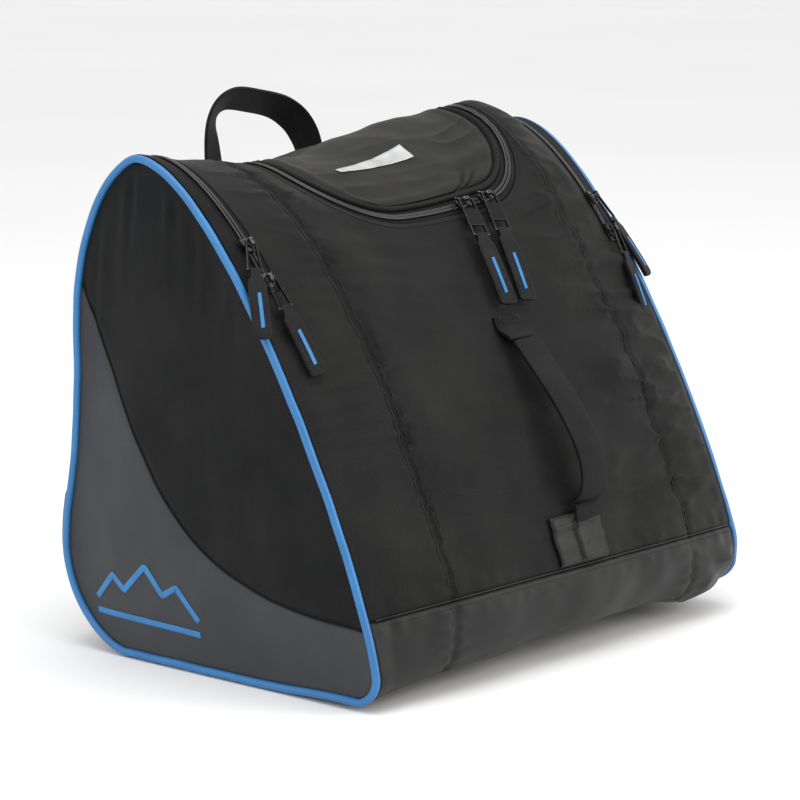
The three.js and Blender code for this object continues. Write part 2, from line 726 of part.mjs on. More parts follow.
// A slider, its pull and its tab on a zip, the pull hanging down the slope and swayed sideways. A
// slider with a travel slides across the bag, any other up the outline.
function addPuller(word, { run, x, travel }, hang, pull, tab) {
  const reach = 4;
  const spot = onShell(run, x);
  const up = onShell(run + reach, x).sub(onShell(run - reach, x)).normalize();
  const sidewise = onShell(run, x + reach).sub(onShell(run, x - reach));
  const out = sidewise.clone().cross(up).normalize();
  const across = up.clone().cross(out);
  const seat = new THREE.Group();
  seat.position.copy(spot);
  seat.quaternion.setFromRotationMatrix(new THREE.Matrix4().makeBasis(across, up, out));
  bag.add(seat);
  add(`${word}_slider`, sliderBody(travel !== undefined), gunmetal, seat);
  const pullSeat = new THREE.Group();
  pullSeat.position.set(0, 0, barHeight);
  pullSeat.rotation.order = 'ZXY';
  pullSeat.rotation.z = degToRad(hang.sway);
  const room = hangRoom(spot, out, { run, x }, pull.length + tab.length, hang);
  pullSeat.rotation.x = degToRad(-hang.pull) - room;
  seat.add(pullSeat);
  add(`${word}_pull`, pullFrame(pull), gunmetal, pullSeat);
  const tabSeat = new THREE.Group();
  tabSeat.position.set(0, -pull.length + pullBar / 2, 0);
  tabSeat.rotation.x = degToRad(-hang.tab);
  pullSeat.add(tabSeat);
  add(`${word}_tab`, tabStrap(tab, pull), webbing, tabSeat);

  bag.updateMatrixWorld(true);
  const barLine = new THREE.Vector3(-1, 0, 0).transformDirection(pullSeat.matrixWorld);
  const slide = travel === undefined ? up : onShell(run, x + travel).sub(spot);
  addAxis(`${word}_slider`, spot, slide);
  addAxis(`${word}_pull`, pullSeat.getWorldPosition(new THREE.Vector3()), barLine);
  addAxis(`${word}_tab`, tabSeat.getWorldPosition(new THREE.Vector3()), barLine);
}

function addPullers() {
  for (const [word, place] of Object.entries(lidSliderPlaces)) {
    addPuller(`lid_${word}`, { run: lidFrontRun, ...place }, lidHang, lidPull, lidTab);
  }
  for (const [side, word] of [[-1, 'left'], [1, 'right']]) {
    for (const level of ['lower', 'upper']) {
      const run = bootZipFrontRun + bootSliderPlaces[level];
      const hang = { ...bootHang[level], sway: side * bootHang[level].sway };
      addPuller(`${word}_${level}`, { run, x: side * bootZipLine }, hang, bootPull, bootTab);
    }
  }
}

// ---------------------------------------------------------------- handles

function addGrabHandle() {
  const foot = outlineAt(backSeamRun + grab.footBelow);
  const lowZ = foot.z;
  const topZ = height + grab.rise;
  const half = grab.span / 2;
  const rounded = (inset) => {
    const path = new THREE.Path();
    const bend = grab.bend - inset;
    path.moveTo(-half + inset, lowZ);
    path.lineTo(-half + inset, topZ - grab.bend);
    path.absarc(-half + grab.bend, topZ - grab.bend, bend, Math.PI, Math.PI / 2, true);
    path.absarc(half - grab.bend, topZ - grab.bend, bend, Math.PI / 2, 0, true);
    path.lineTo(half - inset, lowZ);
    return path.getPoints(8);
  };
  const shape = new THREE.Shape([...rounded(0), ...rounded(grab.thick).reverse()]);
  const arch = new THREE.ExtrudeGeometry(shape, { depth: grab.width, bevelEnabled: false });
  arch.rotateX(Math.PI / 2);
  arch.translate(0, shoulderY + backPadProud + grab.clear + grab.width, 0);
  add('grab_handle', arch, webbing);
  const footMiddle = new THREE.Vector3(0, shoulderY + backPadProud + grab.clear, lowZ);
  addAxis('grab_handle', footMiddle, new THREE.Vector3(-1, 0, 0));
}

// A strip of webbing along the outline: its middle line and its inset may change along it.
function strip(runs, half, thick, middleAt, insetAt) {
  return bentBox(2, runs.length - 1, (u, v, w) => {
    const run = runs[Math.round(v * (runs.length - 1))];
    return onShell(run, middleAt(run) + (u * 2 - 1) * half, insetAt(run) - (w > 0.5 ? thick : 0));
  });
}

function addHaulHandle() {
  const half = haul.width / 2;
  const middle = flat(haul.shift);
  const bowed = (run) => {
    const part = (run - haul.lowEnd) / (haul.highEnd - haul.lowEnd);
    return -haul.stand - haul.bow * Math.sin(Math.PI * Math.sqrt(part)) + haul.thick / 2;
  };
  const runs = steps(haul.lowEnd, haul.highEnd, 12);
  add('haul_handle', strip(runs, half, haul.thick, middle, bowed), webbing);
  const lowSpot = onShell(haul.lowEnd, haul.shift, -haul.stand);
  const highSpot = onShell(haul.highEnd, haul.shift, -haul.stand);
  addAxis('haul_handle', lowSpot.clone().lerp(highSpot, 0.5), highSpot.clone().sub(lowSpot));
  const anchorRuns = steps(haul.highEnd + haul.clear, haul.highEnd + haul.anchorLength, 3);
  add('haul_anchor', strip(anchorRuns, half, haul.thick, middle, flat(-seamGap)), webbing);
  const patchLow = bandRun + haulPatch.aboveBand;
  const patchRuns = steps(patchLow, patchLow + haulPatch.length, 3);
  const patchHalf = haulPatch.width / 2;
  const under = flat(-seamGap);
  const patch = strip(patchRuns, patchHalf, haulPatch.thick, flat(haulPatch.shift), under);
  add('haul_patch', patch, blackCloth);
}

function addShoulderStrap(side, word) {
  const topRun = backRun(strap.padTop);
  const padLowRun = backRun(strap.padLow);
  const lowRun = backRun(strap.lowEnd);
  const middle = (run) => {
    const part = clamp((run - topRun) / (lowRun - topRun), 0, 1);
    const straight = lerp(strap.topX, strap.lowX, part);
    return side * (straight + strap.bendOut * Math.sin(Math.PI * part));
  };
  const inset = (run) => {
    const part = clamp((run - topRun) / (lowRun - topRun), 0, 1);
    return -backPadProud - strap.stand - strap.bow * Math.sin(Math.PI * part);
  };
  const padRuns = steps(topRun, padLowRun, 10);
  const pad = strip(padRuns, strap.padWidth / 2, strap.padThick, middle, inset);
  add(`${word}_strap_pad`, pad, meshCloth);
  const buckleLow = padLowRun + adjuster.clear + adjuster.length;
  const buckleRuns = steps(padLowRun + adjuster.clear, buckleLow, 2);
  const buckle = strip(buckleRuns, adjuster.width / 2, adjuster.thick, middle, inset);
  add(`${word}_strap_adjuster`, buckle, buckleNylon);
  const webRuns = steps(buckleLow + adjuster.clear, lowRun, 6);
  const web = strip(webRuns, strap.webWidth / 2, strap.webThick, middle, inset);
  add(`${word}_strap_webbing`, web, webbing);
  const topSpot = onShell(topRun, middle(topRun), inset(topRun));
  const lowSpot = onShell(lowRun, middle(lowRun), inset(lowRun));
  addAxis(`${word}_strap`, topSpot.clone().lerp(lowSpot, 0.5), topSpot.clone().sub(lowSpot));
}

// ---------------------------------------------------------------- assembly

addBase();
addBand();
addFrontPanel();
addBack();
addLid();
addPullers();
addGrabHandle();
addHaulHandle();
const regions = endRegions();
for (const [side, word] of [[-1, 'left'], [1, 'right']]) {
  addGusset(side, word);
  addEnd(side, word, regions);
  addFlapAxis(side, word);
  addPiping(side, word);
  addBootZip(side, word);
  addDivider(side, word);
  addShoulderStrap(side, word);
}

export default bag;
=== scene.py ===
import math

import bmesh
import bpy
from mathutils import Matrix, Vector, noise
from mathutils.geometry import interpolate_bezier


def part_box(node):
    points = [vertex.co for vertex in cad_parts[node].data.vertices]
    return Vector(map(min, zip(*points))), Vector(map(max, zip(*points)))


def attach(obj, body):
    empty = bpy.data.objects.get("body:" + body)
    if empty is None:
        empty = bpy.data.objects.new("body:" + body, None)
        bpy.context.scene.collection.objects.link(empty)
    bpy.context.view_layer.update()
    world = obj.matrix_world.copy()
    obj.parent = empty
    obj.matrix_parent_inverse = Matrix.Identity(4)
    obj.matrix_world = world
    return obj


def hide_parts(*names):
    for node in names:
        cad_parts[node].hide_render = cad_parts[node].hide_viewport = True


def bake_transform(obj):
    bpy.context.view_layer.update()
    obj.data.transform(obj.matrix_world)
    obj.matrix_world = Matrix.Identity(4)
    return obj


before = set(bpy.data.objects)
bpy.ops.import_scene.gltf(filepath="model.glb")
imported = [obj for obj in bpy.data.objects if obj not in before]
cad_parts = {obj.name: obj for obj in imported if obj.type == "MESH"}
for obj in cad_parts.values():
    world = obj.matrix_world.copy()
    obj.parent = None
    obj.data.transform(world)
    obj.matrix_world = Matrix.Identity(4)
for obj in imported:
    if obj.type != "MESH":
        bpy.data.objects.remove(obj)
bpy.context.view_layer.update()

MM = 0.001

# ---------------------------------------------------------------- sizes shared with the frame

WIDTH, DEPTH, HEIGHT = 440, 314, 372
FRONT_FOOT = {"rise": 26, "tuck": 27, "round": 0.6}
FRONT_SLOPE = {"lean": 0.168, "foot_pull": 76, "crown_pull": 85}
CROWN = {"back": 74, "pull": 18.6}
SHOULDER = {"in_from_foot": 15.5, "height": 242, "pull_up": 86, "pull_down": 124}
BACK_FOOT = {"bulge_height": 78, "pull_up": 44, "pull_down": 40, "tuck": 75, "tuck_pull": 39}

TOP_SAG, SAG_START = 20, 10
SAG_REACH = {"front": 200, "back": 50}
TOP_PUFF = {"rise": 26, "low": -40, "full": 150, "fall": 145, "front": 160, "back": 50}
FRONT_FULLNESS, FULLNESS_RISE = 18, 90
FULLNESS_FADE = {"before": 120, "after": 20}

END_FACE_IN = 4
BACK_PAD_PROUD = 3
PIPING_DIAMETER, PIPING_PROUD, PIPING_GAP = 7, 1, 0.3
BAND_HEIGHT = 63
BOOT_ZIP_FRONT_HEIGHT, BOOT_ZIP_BACK_HEIGHT = 278, 118
BACK_SEAM_HEIGHT = 300
GUSSET_SEAM, BOOT_ZIP_LINE = 141, 197
TAPE_WIDTH, COIL_PROUD, COIL_GAP = 6.5, 1.2, 0.4
SEAM_GAP = 0.6
LID_HALF_WIDTH, LID_SHIFT, LID_CORNER = 116, 15, 68
LID_FRONT_HEIGHT, LID_HINGE_BEHIND_CROWN = 318, 52
LID_CROWN = {"rise": 13, "front": 0.06, "back": 0.68}
BINDING_WIDTH, BINDING_PROUD = 6, 2.2
GREY_SEAM = ((133.7, 273.7), (41.1, 104.6), (35.4, 64.3), (-170, 55.2))

SLIDER = {"width": 9, "length": 13, "thick": 2.6, "clear": 0.4}
BRIDGE = {"width": 3, "length": 5.4, "high": 4.8}
PULL_BAR = 1.6
LID_PULL = {"length": 34, "top": 14, "foot": 16, "rail": 2, "plate": (9.5, 9)}
BOOT_PULL = {"length": 24, "top": 8.5, "foot": 12.5, "rail": 1.7, "plate": None}
LID_TAB = {"length": 62, "width": 16}
BOOT_TAB = {"length": 54, "width": 14}
TAB_THICK, TAB_NECK = 3.6, 5.4
LID_SLIDER_PLACES = {"left": 35, "right": 62}
LID_HANG = {"sway": -12, "pull": -7, "tab": -3}
BOOT_SLIDER_PLACES = {"lower": 9, "upper": 39}
BOOT_HANG = {
    "lower": {"sway": -4, "pull": -5, "tab": -2},
    "upper": {"sway": 22, "pull": -3, "tab": -3},
}
GRAB = {"span": 114, "foot_below": 34, "rise": 24, "thick": 2.6, "width": 24, "clear": 1.5}
HAUL = {"width": 29, "thick": 2.6, "shift": 16, "low": 127, "high": 252, "stand": 7.5, "bow": 18}
HAUL_ANCHOR = {"length": 22, "clear": 3}
HAUL_PATCH = {"width": 52, "length": 34, "above_band": 4, "shift": 4}
STRAP = {
    "top_x": 48, "low_x": 118, "pad_top": 236, "pad_low": 150, "low_end": 62, "pad_width": 52,
    "pad_thick": 9, "web_width": 25, "web_thick": 2, "stand": 11, "bow": 20, "bend_out": 22,
}
ADJUSTER = {"width": 34, "length": 24, "thick": 5, "clear": 0.8}

FRONT_Y, BACK_Y = -DEPTH / 2, DEPTH / 2
SHOULDER_Y = BACK_Y - SHOULDER["in_from_foot"]
END_INNER = WIDTH / 2 - PIPING_DIAMETER - PIPING_GAP

# Sizes of the cloth work alone.
CLOTH_THICK = 1.3
SETTLE = {"height": 62, "front": -128, "back": -40, "belly": 15, "right_foot": 17, "tuck": 9}
END_BULGE = 6
CLOTH_END = END_INNER + 1.6  # the cloth runs on into the piping's seam

# ---------------------------------------------------------------- small sums


def lerp(a, b, part):
    return a + (b - a) * part


def clamp(value, low=0.0, high=1.0):
    return min(max(value, low), high)


def smoothstep(value, low, high):
    part = clamp((value - low) / (high - low))
    return part * part * (3 - 2 * part)


def bell(away, reach):
    """One at nothing, falling smoothly to almost none at twice the reach."""
    return math.exp(-((away / reach) ** 2))


def wander(x, y, z):
    """A smooth random value from about -1 to 1, the same every time."""
    return noise.noise(Vector((x, y, z)))


# ---------------------------------------------------------------- side outline

TRACE_STEPS = 900


def side_outline():
    """Evenly spaced places round the side, from the front foot over the crown to the back foot."""
    foot_pull = FRONT_FOOT["rise"] * FRONT_FOOT["round"]
    front_foot_y = FRONT_Y + FRONT_FOOT["tuck"]
    bulge = BACK_FOOT["bulge_height"]
    back_foot_y = BACK_Y - BACK_FOOT["tuck"]
    lean, foot, over = FRONT_SLOPE["lean"], FRONT_SLOPE["foot_pull"], FRONT_SLOPE["crown_pull"]
    rise = FRONT_FOOT["rise"]
    bends = [
        ((front_foot_y, 0), (front_foot_y - foot_pull, 0),
         (FRONT_Y - lean * foot_pull, rise - foot_pull), (FRONT_Y, rise)),
        ((FRONT_Y, rise), (FRONT_Y + lean * foot, rise + foot),
         (CROWN["back"] - over, HEIGHT), (CROWN["back"], HEIGHT)),
        ((CROWN["back"], HEIGHT), (CROWN["back"] + CROWN["pull"], HEIGHT),
         (SHOULDER_Y, SHOULDER["height"] + SHOULDER["pull_up"]), (SHOULDER_Y, SHOULDER["height"])),
        ((SHOULDER_Y, SHOULDER["height"]), (SHOULDER_Y, SHOULDER["height"] - SHOULDER["pull_down"]),
         (BACK_Y, bulge + BACK_FOOT["pull_up"]), (BACK_Y, bulge)),
        ((BACK_Y, bulge), (BACK_Y, bulge - BACK_FOOT["pull_down"]),
         (back_foot_y + BACK_FOOT["tuck_pull"], 0), (back_foot_y, 0)),
    ]
    spots = []
    for bend in bends:
        knots = [Vector((y, z)) for y, z in bend]
        spots += interpolate_bezier(*knots, TRACE_STEPS)[1 if spots else 0:]
    lengths = [0.0]
    for before, after in zip(spots, spots[1:]):
        lengths.append(lengths[-1] + (after - before).length)
    even, index = [], 0
    for step in range(TRACE_STEPS + 1):
        want = lengths[-1] * step / TRACE_STEPS
        while index < len(spots) - 2 and lengths[index + 1] < want:
            index += 1
        part = clamp((want - lengths[index]) / (lengths[index + 1] - lengths[index]))
        even.append(spots[index].lerp(spots[index + 1], part))
    return even, lengths[-1]


TRACE, OUTLINE_LENGTH = side_outline()


def outline_at(run):
    """The place (y, z) and the outward direction at a distance along the outline."""
    place = clamp(run / OUTLINE_LENGTH) * TRACE_STEPS
    step = min(int(place), TRACE_STEPS - 1)
    spot = TRACE[step].lerp(TRACE[step + 1], place - step)
    along = (TRACE[min(step + 2, TRACE_STEPS)] - TRACE[max(step - 1, 0)]).normalized()
    return spot.x, spot.y, -along.y, along.x


def trace_run(index):
    return index / TRACE_STEPS * OUTLINE_LENGTH


def front_run(high):
    return trace_run(next(i for i, spot in enumerate(TRACE) if spot.y >= high))


def back_run(high):
    return trace_run(max(i for i, spot in enumerate(TRACE) if spot.y >= high))


CROWN_RUN = trace_run(max(range(len(TRACE)), key=lambda i: TRACE[i].y))
BAND_RUN = front_run(BAND_HEIGHT)
BACK_SEAM_RUN = back_run(BACK_SEAM_HEIGHT)
BOOT_ZIP_FRONT_RUN = front_run(BOOT_ZIP_FRONT_HEIGHT)
BOOT_ZIP_BACK_RUN = back_run(BOOT_ZIP_BACK_HEIGHT)
LID_FRONT_RUN = front_run(LID_FRONT_HEIGHT)
LID_HINGE_RUN = CROWN_RUN + LID_HINGE_BEHIND_CROWN
TAPE_INNER = BOOT_ZIP_LINE - COIL_GAP / 2 - TAPE_WIDTH
LID_GAP = BINDING_WIDTH + TAPE_WIDTH + COIL_GAP / 2
LID_ZIP_OUTER = COIL_GAP / 2 + TAPE_WIDTH

# ---------------------------------------------------------------- the stuffed shell


def fade_from_crown(run, reach):
    away = abs(run - CROWN_RUN)
    return 1 - smoothstep(away, SAG_START, reach["front" if run < CROWN_RUN else "back"])


def lift_at(run, x):
    """How far the top stands above the outline: it sags in the middle and puffs up on the right."""
    across = 1 - min(abs(x) / END_INNER, 1) ** 2
    rising = smoothstep(x, TOP_PUFF["low"], TOP_PUFF["full"])
    falling = 1 - smoothstep(x, TOP_PUFF["fall"], END_INNER)
    puff = TOP_PUFF["rise"] * rising * falling * fade_from_crown(run, TOP_PUFF)
    return puff - TOP_SAG * across * fade_from_crown(run, SAG_REACH)


def fullness_at(run, x):
    across = 1 - min(abs(x) / END_INNER, 1) ** 4
    low = smoothstep(run, 0, FULLNESS_RISE)
    high = smoothstep(run - CROWN_RUN, -FULLNESS_FADE["before"], FULLNESS_FADE["after"])
    return FRONT_FULLNESS * across * low * (1 - high)


def on_shell(run, x, inset=0.0):
    """A point on the even shell, or under it by the inset."""
    y, z, out_y, out_z = outline_at(run)
    out = fullness_at(run, x) - inset
    return Vector((x, y + out_y * out, z + out_z * out + lift_at(run, x)))


def lid_zip_distance(run, x):
    """How far a place on the cloth lies outside the lid's zip, less than nothing inside it."""
    side = abs(x - LID_SHIFT) - (LID_HALF_WIDTH - LID_CORNER)
    front = LID_FRONT_RUN + LID_CORNER - run
    outside = math.hypot(max(side, 0), max(front, 0))
    return outside + min(max(side, front), 0) - LID_CORNER


def zip_clearance(run, x):
    """How far a place on the cloth lies from the nearest zip."""
    nearest = abs(lid_zip_distance(run, x)) if run < LID_HINGE_RUN else 99
    if BOOT_ZIP_FRONT_RUN - 12 < run < BOOT_ZIP_BACK_RUN + 12:
        nearest = min(nearest, abs(abs(x) - BOOT_ZIP_LINE))
    return nearest


def rumple(run, x):
    """How far the stuffed cloth stands off the even shell, in lumps, soft folds and puckers."""
    lump = 4.2 * wander(x / 88, run / 78, 3.1) + 1.9 * wander(x / 34, run / 30, 6.3)
    on_front = smoothstep(run, 70, 120) * (1 - smoothstep(run, 420, 470))
    sway = 9 * wander(x / 60, run / 90, 1.7)
    folds = wander(x / 92, (run + sway) / 15, 8.4)
    ridge = (1 - abs(folds)) ** 3
    right = smoothstep(x, -10, 120)
    fold = on_front * (4.4 * ridge * (0.35 + 0.65 * right) - 1.3)
    diagonal = wander((x + run * 0.7) / 70, (run - x * 0.35) / 21, 5.5)
    fold += on_front * 2.8 * (1 - abs(diagonal)) ** 4 * smoothstep(x, 60, 160)
    seam_away = abs(abs(x) - GUSSET_SEAM)
    pucker = math.sin(run / 2.3 + 5 * wander(run / 30, x / 200, 2.2))
    seam = -1.9 * bell(seam_away, 3.2) + 0.75 * pucker * bell(seam_away - 7, 7)
    seam *= smoothstep(run, 8, 30) * (1 - smoothstep(run, 455, 480))
    band_away = run - BAND_RUN
    band = -1.3 * bell(band_away, 2.6)
    band_pucker = math.sin(x / 3.1 + 4 * wander(x / 40, 0.5, 7.2))
    band += 0.45 * band_pucker * bell(abs(band_away) - 7, 6)
    lower = (1 - smoothstep(run, 40, 90)) * (1 - smoothstep(-run, -12, 0))
    crumple = smoothstep(x, 120, 205) * lower
    lump += crumple * (5.5 * wander(x / 24, run / 15, 9.1) + 3.5)
    under_tabs = bell(x - 52, 42) * bell(run - (LID_FRONT_RUN - 60), 52)
    lump = lerp(lump, min(lump, 0) - 2.2, under_tabs)
    fold = lerp(fold, min(fold, 0), under_tabs)
    free = smoothstep(zip_clearance(run, x), 8, 30)
    at_end = smoothstep(END_INNER - abs(x), 0, 16)
    behind = 1 - 0.6 * smoothstep(run, LID_HINGE_RUN, BACK_SEAM_RUN)
    return ((lump + fold) * free * at_end + (seam + band) * max(free, 0.35)) * behind


def settle(spot):
    """Lifts the front of the belly off the floor, and the right foot a little more."""
    low = 1 - smoothstep(spot.z, 0, SETTLE["height"])
    front = 1 - smoothstep(spot.y, SETTLE["front"], SETTLE["back"])
    if low * front == 0:
        return spot
    belly = SETTLE["belly"] * (1 - min(abs(spot.x + 10) / 225, 1) ** 4)
    belly *= 0.55 + 0.45 * smoothstep(spot.x, -180, 60)
    right = smoothstep(spot.x, 120, 205)
    lift = low * front * max(belly, SETTLE["right_foot"] * right)
    return spot + Vector((-SETTLE["tuck"] * right * low * front, 0.35 * lift, lift))


def soft(run, x, inset=0.0):
    """A point on the stuffed, rumpled cloth."""
    return settle(on_shell(run, x, inset - rumple(run, x)))


# ---------------------------------------------------------------- making pieces


def new_piece(name, bm, finish, smooth=True):
    for face in bm.faces:
        face.smooth = smooth
    tag = name.replace(" ", "_")
    mesh = bpy.data.meshes.new(tag)
    bm.to_mesh(mesh)
    bm.free()
    mesh.materials.append(finish)
    piece = bpy.data.objects.new(tag, mesh)
    bpy.context.scene.collection.objects.link(piece)
    return piece


def seat(piece, body, slot, *nodes):
    """Says what the piece moves with and which plain solids it stands for; the slot argument is not used."""
    if body:
        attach(piece, body)
    if nodes:
        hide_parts(*nodes)
    return piece


def sheet_mesh(across, along, place, flip=False):
    """A grid laid out by a rule from (u, v) to a point in millimetres and a place in its weave."""
    bm = bmesh.new()
    bmesh.ops.create_grid(bm, x_segments=across, y_segments=along, size=0.5)
    weave = bm.loops.layers.uv.new("weave")
    found = {}
    for vert in bm.verts:
        u, v = vert.co.x + 0.5, vert.co.y + 0.5
        spot, mark = place(u, v)
        found[vert] = mark
        vert.co = spot * MM
    for face in bm.faces:
        for loop in face.loops:
            mark = found[loop.vert]
            loop[weave].uv = (mark[0] * MM, mark[1] * MM)
    if flip:
        bmesh.ops.reverse_faces(bm, faces=bm.faces)
    return bm


def thicken(piece, thick, offset=-1.0):
    """Gives a sheet its thickness, inwards from its face unless told otherwise."""
    wall = piece.modifiers.new("thickness", "SOLIDIFY")
    wall.thickness = thick * MM
    wall.offset = offset
    wall.use_even_offset = False
    return piece


def apply_modifiers(piece):
    """Turns the piece's modifiers into its mesh."""
    graph = bpy.context.evaluated_depsgraph_get()
    mesh = bpy.data.meshes.new_from_object(piece.evaluated_get(graph), depsgraph=graph)
    piece.modifiers.clear()
    piece.data = mesh
    return piece


def sheet(name, across, along, place, finish, thick=CLOTH_THICK, flip=False):
    piece = new_piece(name, sheet_mesh(across, along, place, flip), finish)
    if thick:
        thicken(piece, thick)
    return piece


def tube_mesh(line, count, sides, wide, high=None, bead=0.0, beads=0, closed=False):
    """A tube along a line: the line gives a point, a sideways and an upward direction."""
    high = high or wide
    bm = bmesh.new()
    bmesh.ops.create_grid(bm, x_segments=count, y_segments=sides, size=0.5)
    for vert in bm.verts:
        u, v = vert.co.x + 0.5, vert.co.y + 0.5
        spot, side, up = line(u)
        swell = 1 + bead * math.cos(2 * math.pi * beads * u) if bead else 1
        turn = 2 * math.pi * v
        vert.co = (spot + side * (wide * swell * math.cos(turn)) + up * (high * math.sin(turn))) * MM
    bmesh.ops.remove_doubles(bm, verts=bm.verts, dist=1e-7)
    if not closed:
        bmesh.ops.holes_fill(bm, edges=bm.edges, sides=sides + 2)
    bmesh.ops.recalc_face_normals(bm, faces=bm.faces)
    return bm


def block(bm, size, at, bevel=0.0, turn=None, segments=2):
    """A box with softened edges, in millimetres."""
    made = bmesh.ops.create_cube(bm, size=1.0)["verts"]
    bmesh.ops.scale(bm, vec=Vector(size), verts=made)
    if bevel:
        edges = {edge for vert in made for edge in vert.link_edges}
        done = bmesh.ops.bevel(
            bm, geom=list(edges), offset=bevel, segments=segments, profile=0.5,
            affect="EDGES", material=-1,
        )
        kept = {vert for vert in made if vert.is_valid}
        made = list(kept | {vert for face in done["faces"] for vert in face.verts})
    if turn:
        bmesh.ops.rotate(bm, verts=made, matrix=turn)
    bmesh.ops.translate(bm, vec=Vector(at), verts=made)
    return made


def place_mesh(bm, frame_matrix):
    """Moves a mesh made in millimetres about its own seat to its place on the bag, in metres."""
    bmesh.ops.transform(bm, matrix=Matrix.Scale(MM, 4) @ frame_matrix, verts=bm.verts)
    return bm


def stitches(name, line, count, length, finish, width=0.45):
    """Short thread dashes along a line, each a small softened bar."""
    bm = bmesh.new()
    for index in range(count):
        spot, _, up = line((index + 0.5) / count)
        ahead, _, _ = line(min((index + 0.8) / count, 1))
        along = (ahead - spot).normalized()
        made = bmesh.ops.create_cube(bm, size=1.0)["verts"]
        across = up.cross(along).normalized()
        axes = Matrix((along * length, across * width, up.normalized() * width)).transposed()
        bmesh.ops.transform(bm, matrix=axes.to_4x4(), verts=made)
        bmesh.ops.translate(bm, vec=spot + up.normalized() * 0.1, verts=made)
    bmesh.ops.scale(bm, vec=Vector((MM, MM, MM)), verts=bm.verts)
    return new_piece(name, bm, finish, smooth=False)


# ---------------------------------------------------------------- finishes


def new_finish(name, colour, roughness, metallic=0.0, **more):
    """A finish with its even values set on the surface itself."""
    finish = bpy.data.materials.new(name)
    finish.use_nodes = True
    surface = finish.node_tree.nodes["Principled BSDF"]
    surface.inputs["Base Color"].default_value = (*colour, 1)
    surface.inputs["Roughness"].default_value = roughness
    surface.inputs["Metallic"].default_value = metallic
    for key, value in more.items():
        surface.inputs[key.replace("_", " ").title().replace("Ior", "IOR")].default_value = value
    return finish


def add_node(finish, kind, values=None, **settings):
    node = finish.node_tree.nodes.new(kind)
    for key, value in settings.items():
        setattr(node, key, value)
    for key, value in (values or {}).items():
        node.inputs[key].default_value = value
    return node


def wire(finish, source, target):
    finish.node_tree.links.new(source, target)


def surface_of(finish):
    return finish.node_tree.nodes["Principled BSDF"]


def blotches(finish, dark, light, scale, low, high, detail=4.0):
    """Colour that wanders between two shades over the surface."""
    place = add_node(finish, "ShaderNodeTexCoord")
    spots = add_node(finish, "ShaderNodeTexNoise", {"Scale": scale, "Detail": detail})
    spread = add_node(finish, "ShaderNodeMapRange", {"From Min": low, "From Max": high})
    mix = add_node(finish, "ShaderNodeMix", data_type="RGBA")
    mix.inputs["A"].default_value = (*dark, 1)
    mix.inputs["B"].default_value = (*light, 1)
    wire(finish, place.outputs["Object"], spots.inputs["Vector"])
    wire(finish, spots.outputs["Fac"], spread.inputs["Value"])
    wire(finish, spread.outputs["Result"], mix.inputs["Factor"])
    wire(finish, mix.outputs["Result"], surface_of(finish).inputs["Base Color"])
    return mix


def speckle(finish, mix, amount, scale):
    """Lightens and darkens single threads of a colour."""
    place = add_node(finish, "ShaderNodeTexCoord")
    grain = add_node(finish, "ShaderNodeTexNoise", {"Scale": scale, "Detail": 2.0})
    spread = add_node(
        finish, "ShaderNodeMapRange",
        {"From Min": 0.3, "From Max": 0.7, "To Min": 1 - amount, "To Max": 1 + amount},
    )
    tint = add_node(finish, "ShaderNodeMix", {"Factor": 1.0}, data_type="RGBA", blend_type="MULTIPLY")
    wire(finish, place.outputs["Object"], grain.inputs["Vector"])
    wire(finish, grain.outputs["Fac"], spread.inputs["Value"])
    wire(finish, mix.outputs["Result"], tint.inputs["A"])
    wire(finish, spread.outputs["Result"], tint.inputs["B"])
    wire(finish, tint.outputs["Result"], surface_of(finish).inputs["Base Color"])


def bands(finish, vector, pitch, direction):
    """Even ridges a pitch apart, in metres."""
    wave = add_node(
        finish, "ShaderNodeTexWave",
        {"Scale": math.pi / 10 / pitch, "Distortion": 0.35, "Detail": 1.0, "Detail Scale": 2.0},
        bands_direction=direction,
    )
    wire(finish, vector, wave.inputs["Vector"])
    return wave.outputs["Fac"]


def plain_weave(finish, pitch, strength, depth, warp=1.0, on_object=False, grain=2600):
    """Crossing threads raised over the surface, with a fine tooth between them."""
    if on_object:
        vector = add_node(finish, "ShaderNodeTexCoord").outputs["Object"]
    else:
        vector = add_node(finish, "ShaderNodeUVMap", uv_map="weave").outputs["UV"]
    over = bands(finish, vector, pitch, "X")
    under = bands(finish, vector, pitch * warp, "Y")
    cross = add_node(finish, "ShaderNodeMath", operation="MULTIPLY")
    wire(finish, over, cross.inputs[0])
    wire(finish, under, cross.inputs[1])
    place = add_node(finish, "ShaderNodeTexCoord")
    tooth = add_node(finish, "ShaderNodeTexNoise", {"Scale": grain, "Detail": 2.0})
    wire(finish, place.outputs["Object"], tooth.inputs["Vector"])
    height = add_node(finish, "ShaderNodeMath", {2: 0.35}, operation="MULTIPLY_ADD")
    wire(finish, tooth.outputs["Fac"], height.inputs[0])
    height.inputs[1].default_value = 0.6
    wire(finish, cross.outputs["Value"], height.inputs[2])
    bump = add_node(finish, "ShaderNodeBump", {"Strength": strength, "Distance": depth})
    wire(finish, height.outputs["Value"], bump.inputs["Height"])
    wire(finish, bump.outputs["Normal"], surface_of(finish).inputs["Normal"])
    return cross


def uneven_gloss(finish, low, high, scale):
    """Roughness that wanders, as where cloth has been handled."""
    place = add_node(finish, "ShaderNodeTexCoord")
    spots = add_node(finish, "ShaderNodeTexNoise", {"Scale": scale, "Detail": 3.0})
    spread = add_node(
        finish, "ShaderNodeMapRange",
        {"From Min": 0.3, "From Max": 0.7, "To Min": low, "To Max": high},
    )
    wire(finish, place.outputs["Object"], spots.inputs["Vector"])
    wire(finish, spots.outputs["Fac"], spread.inputs["Value"])
    wire(finish, spread.outputs["Result"], surface_of(finish).inputs["Roughness"])


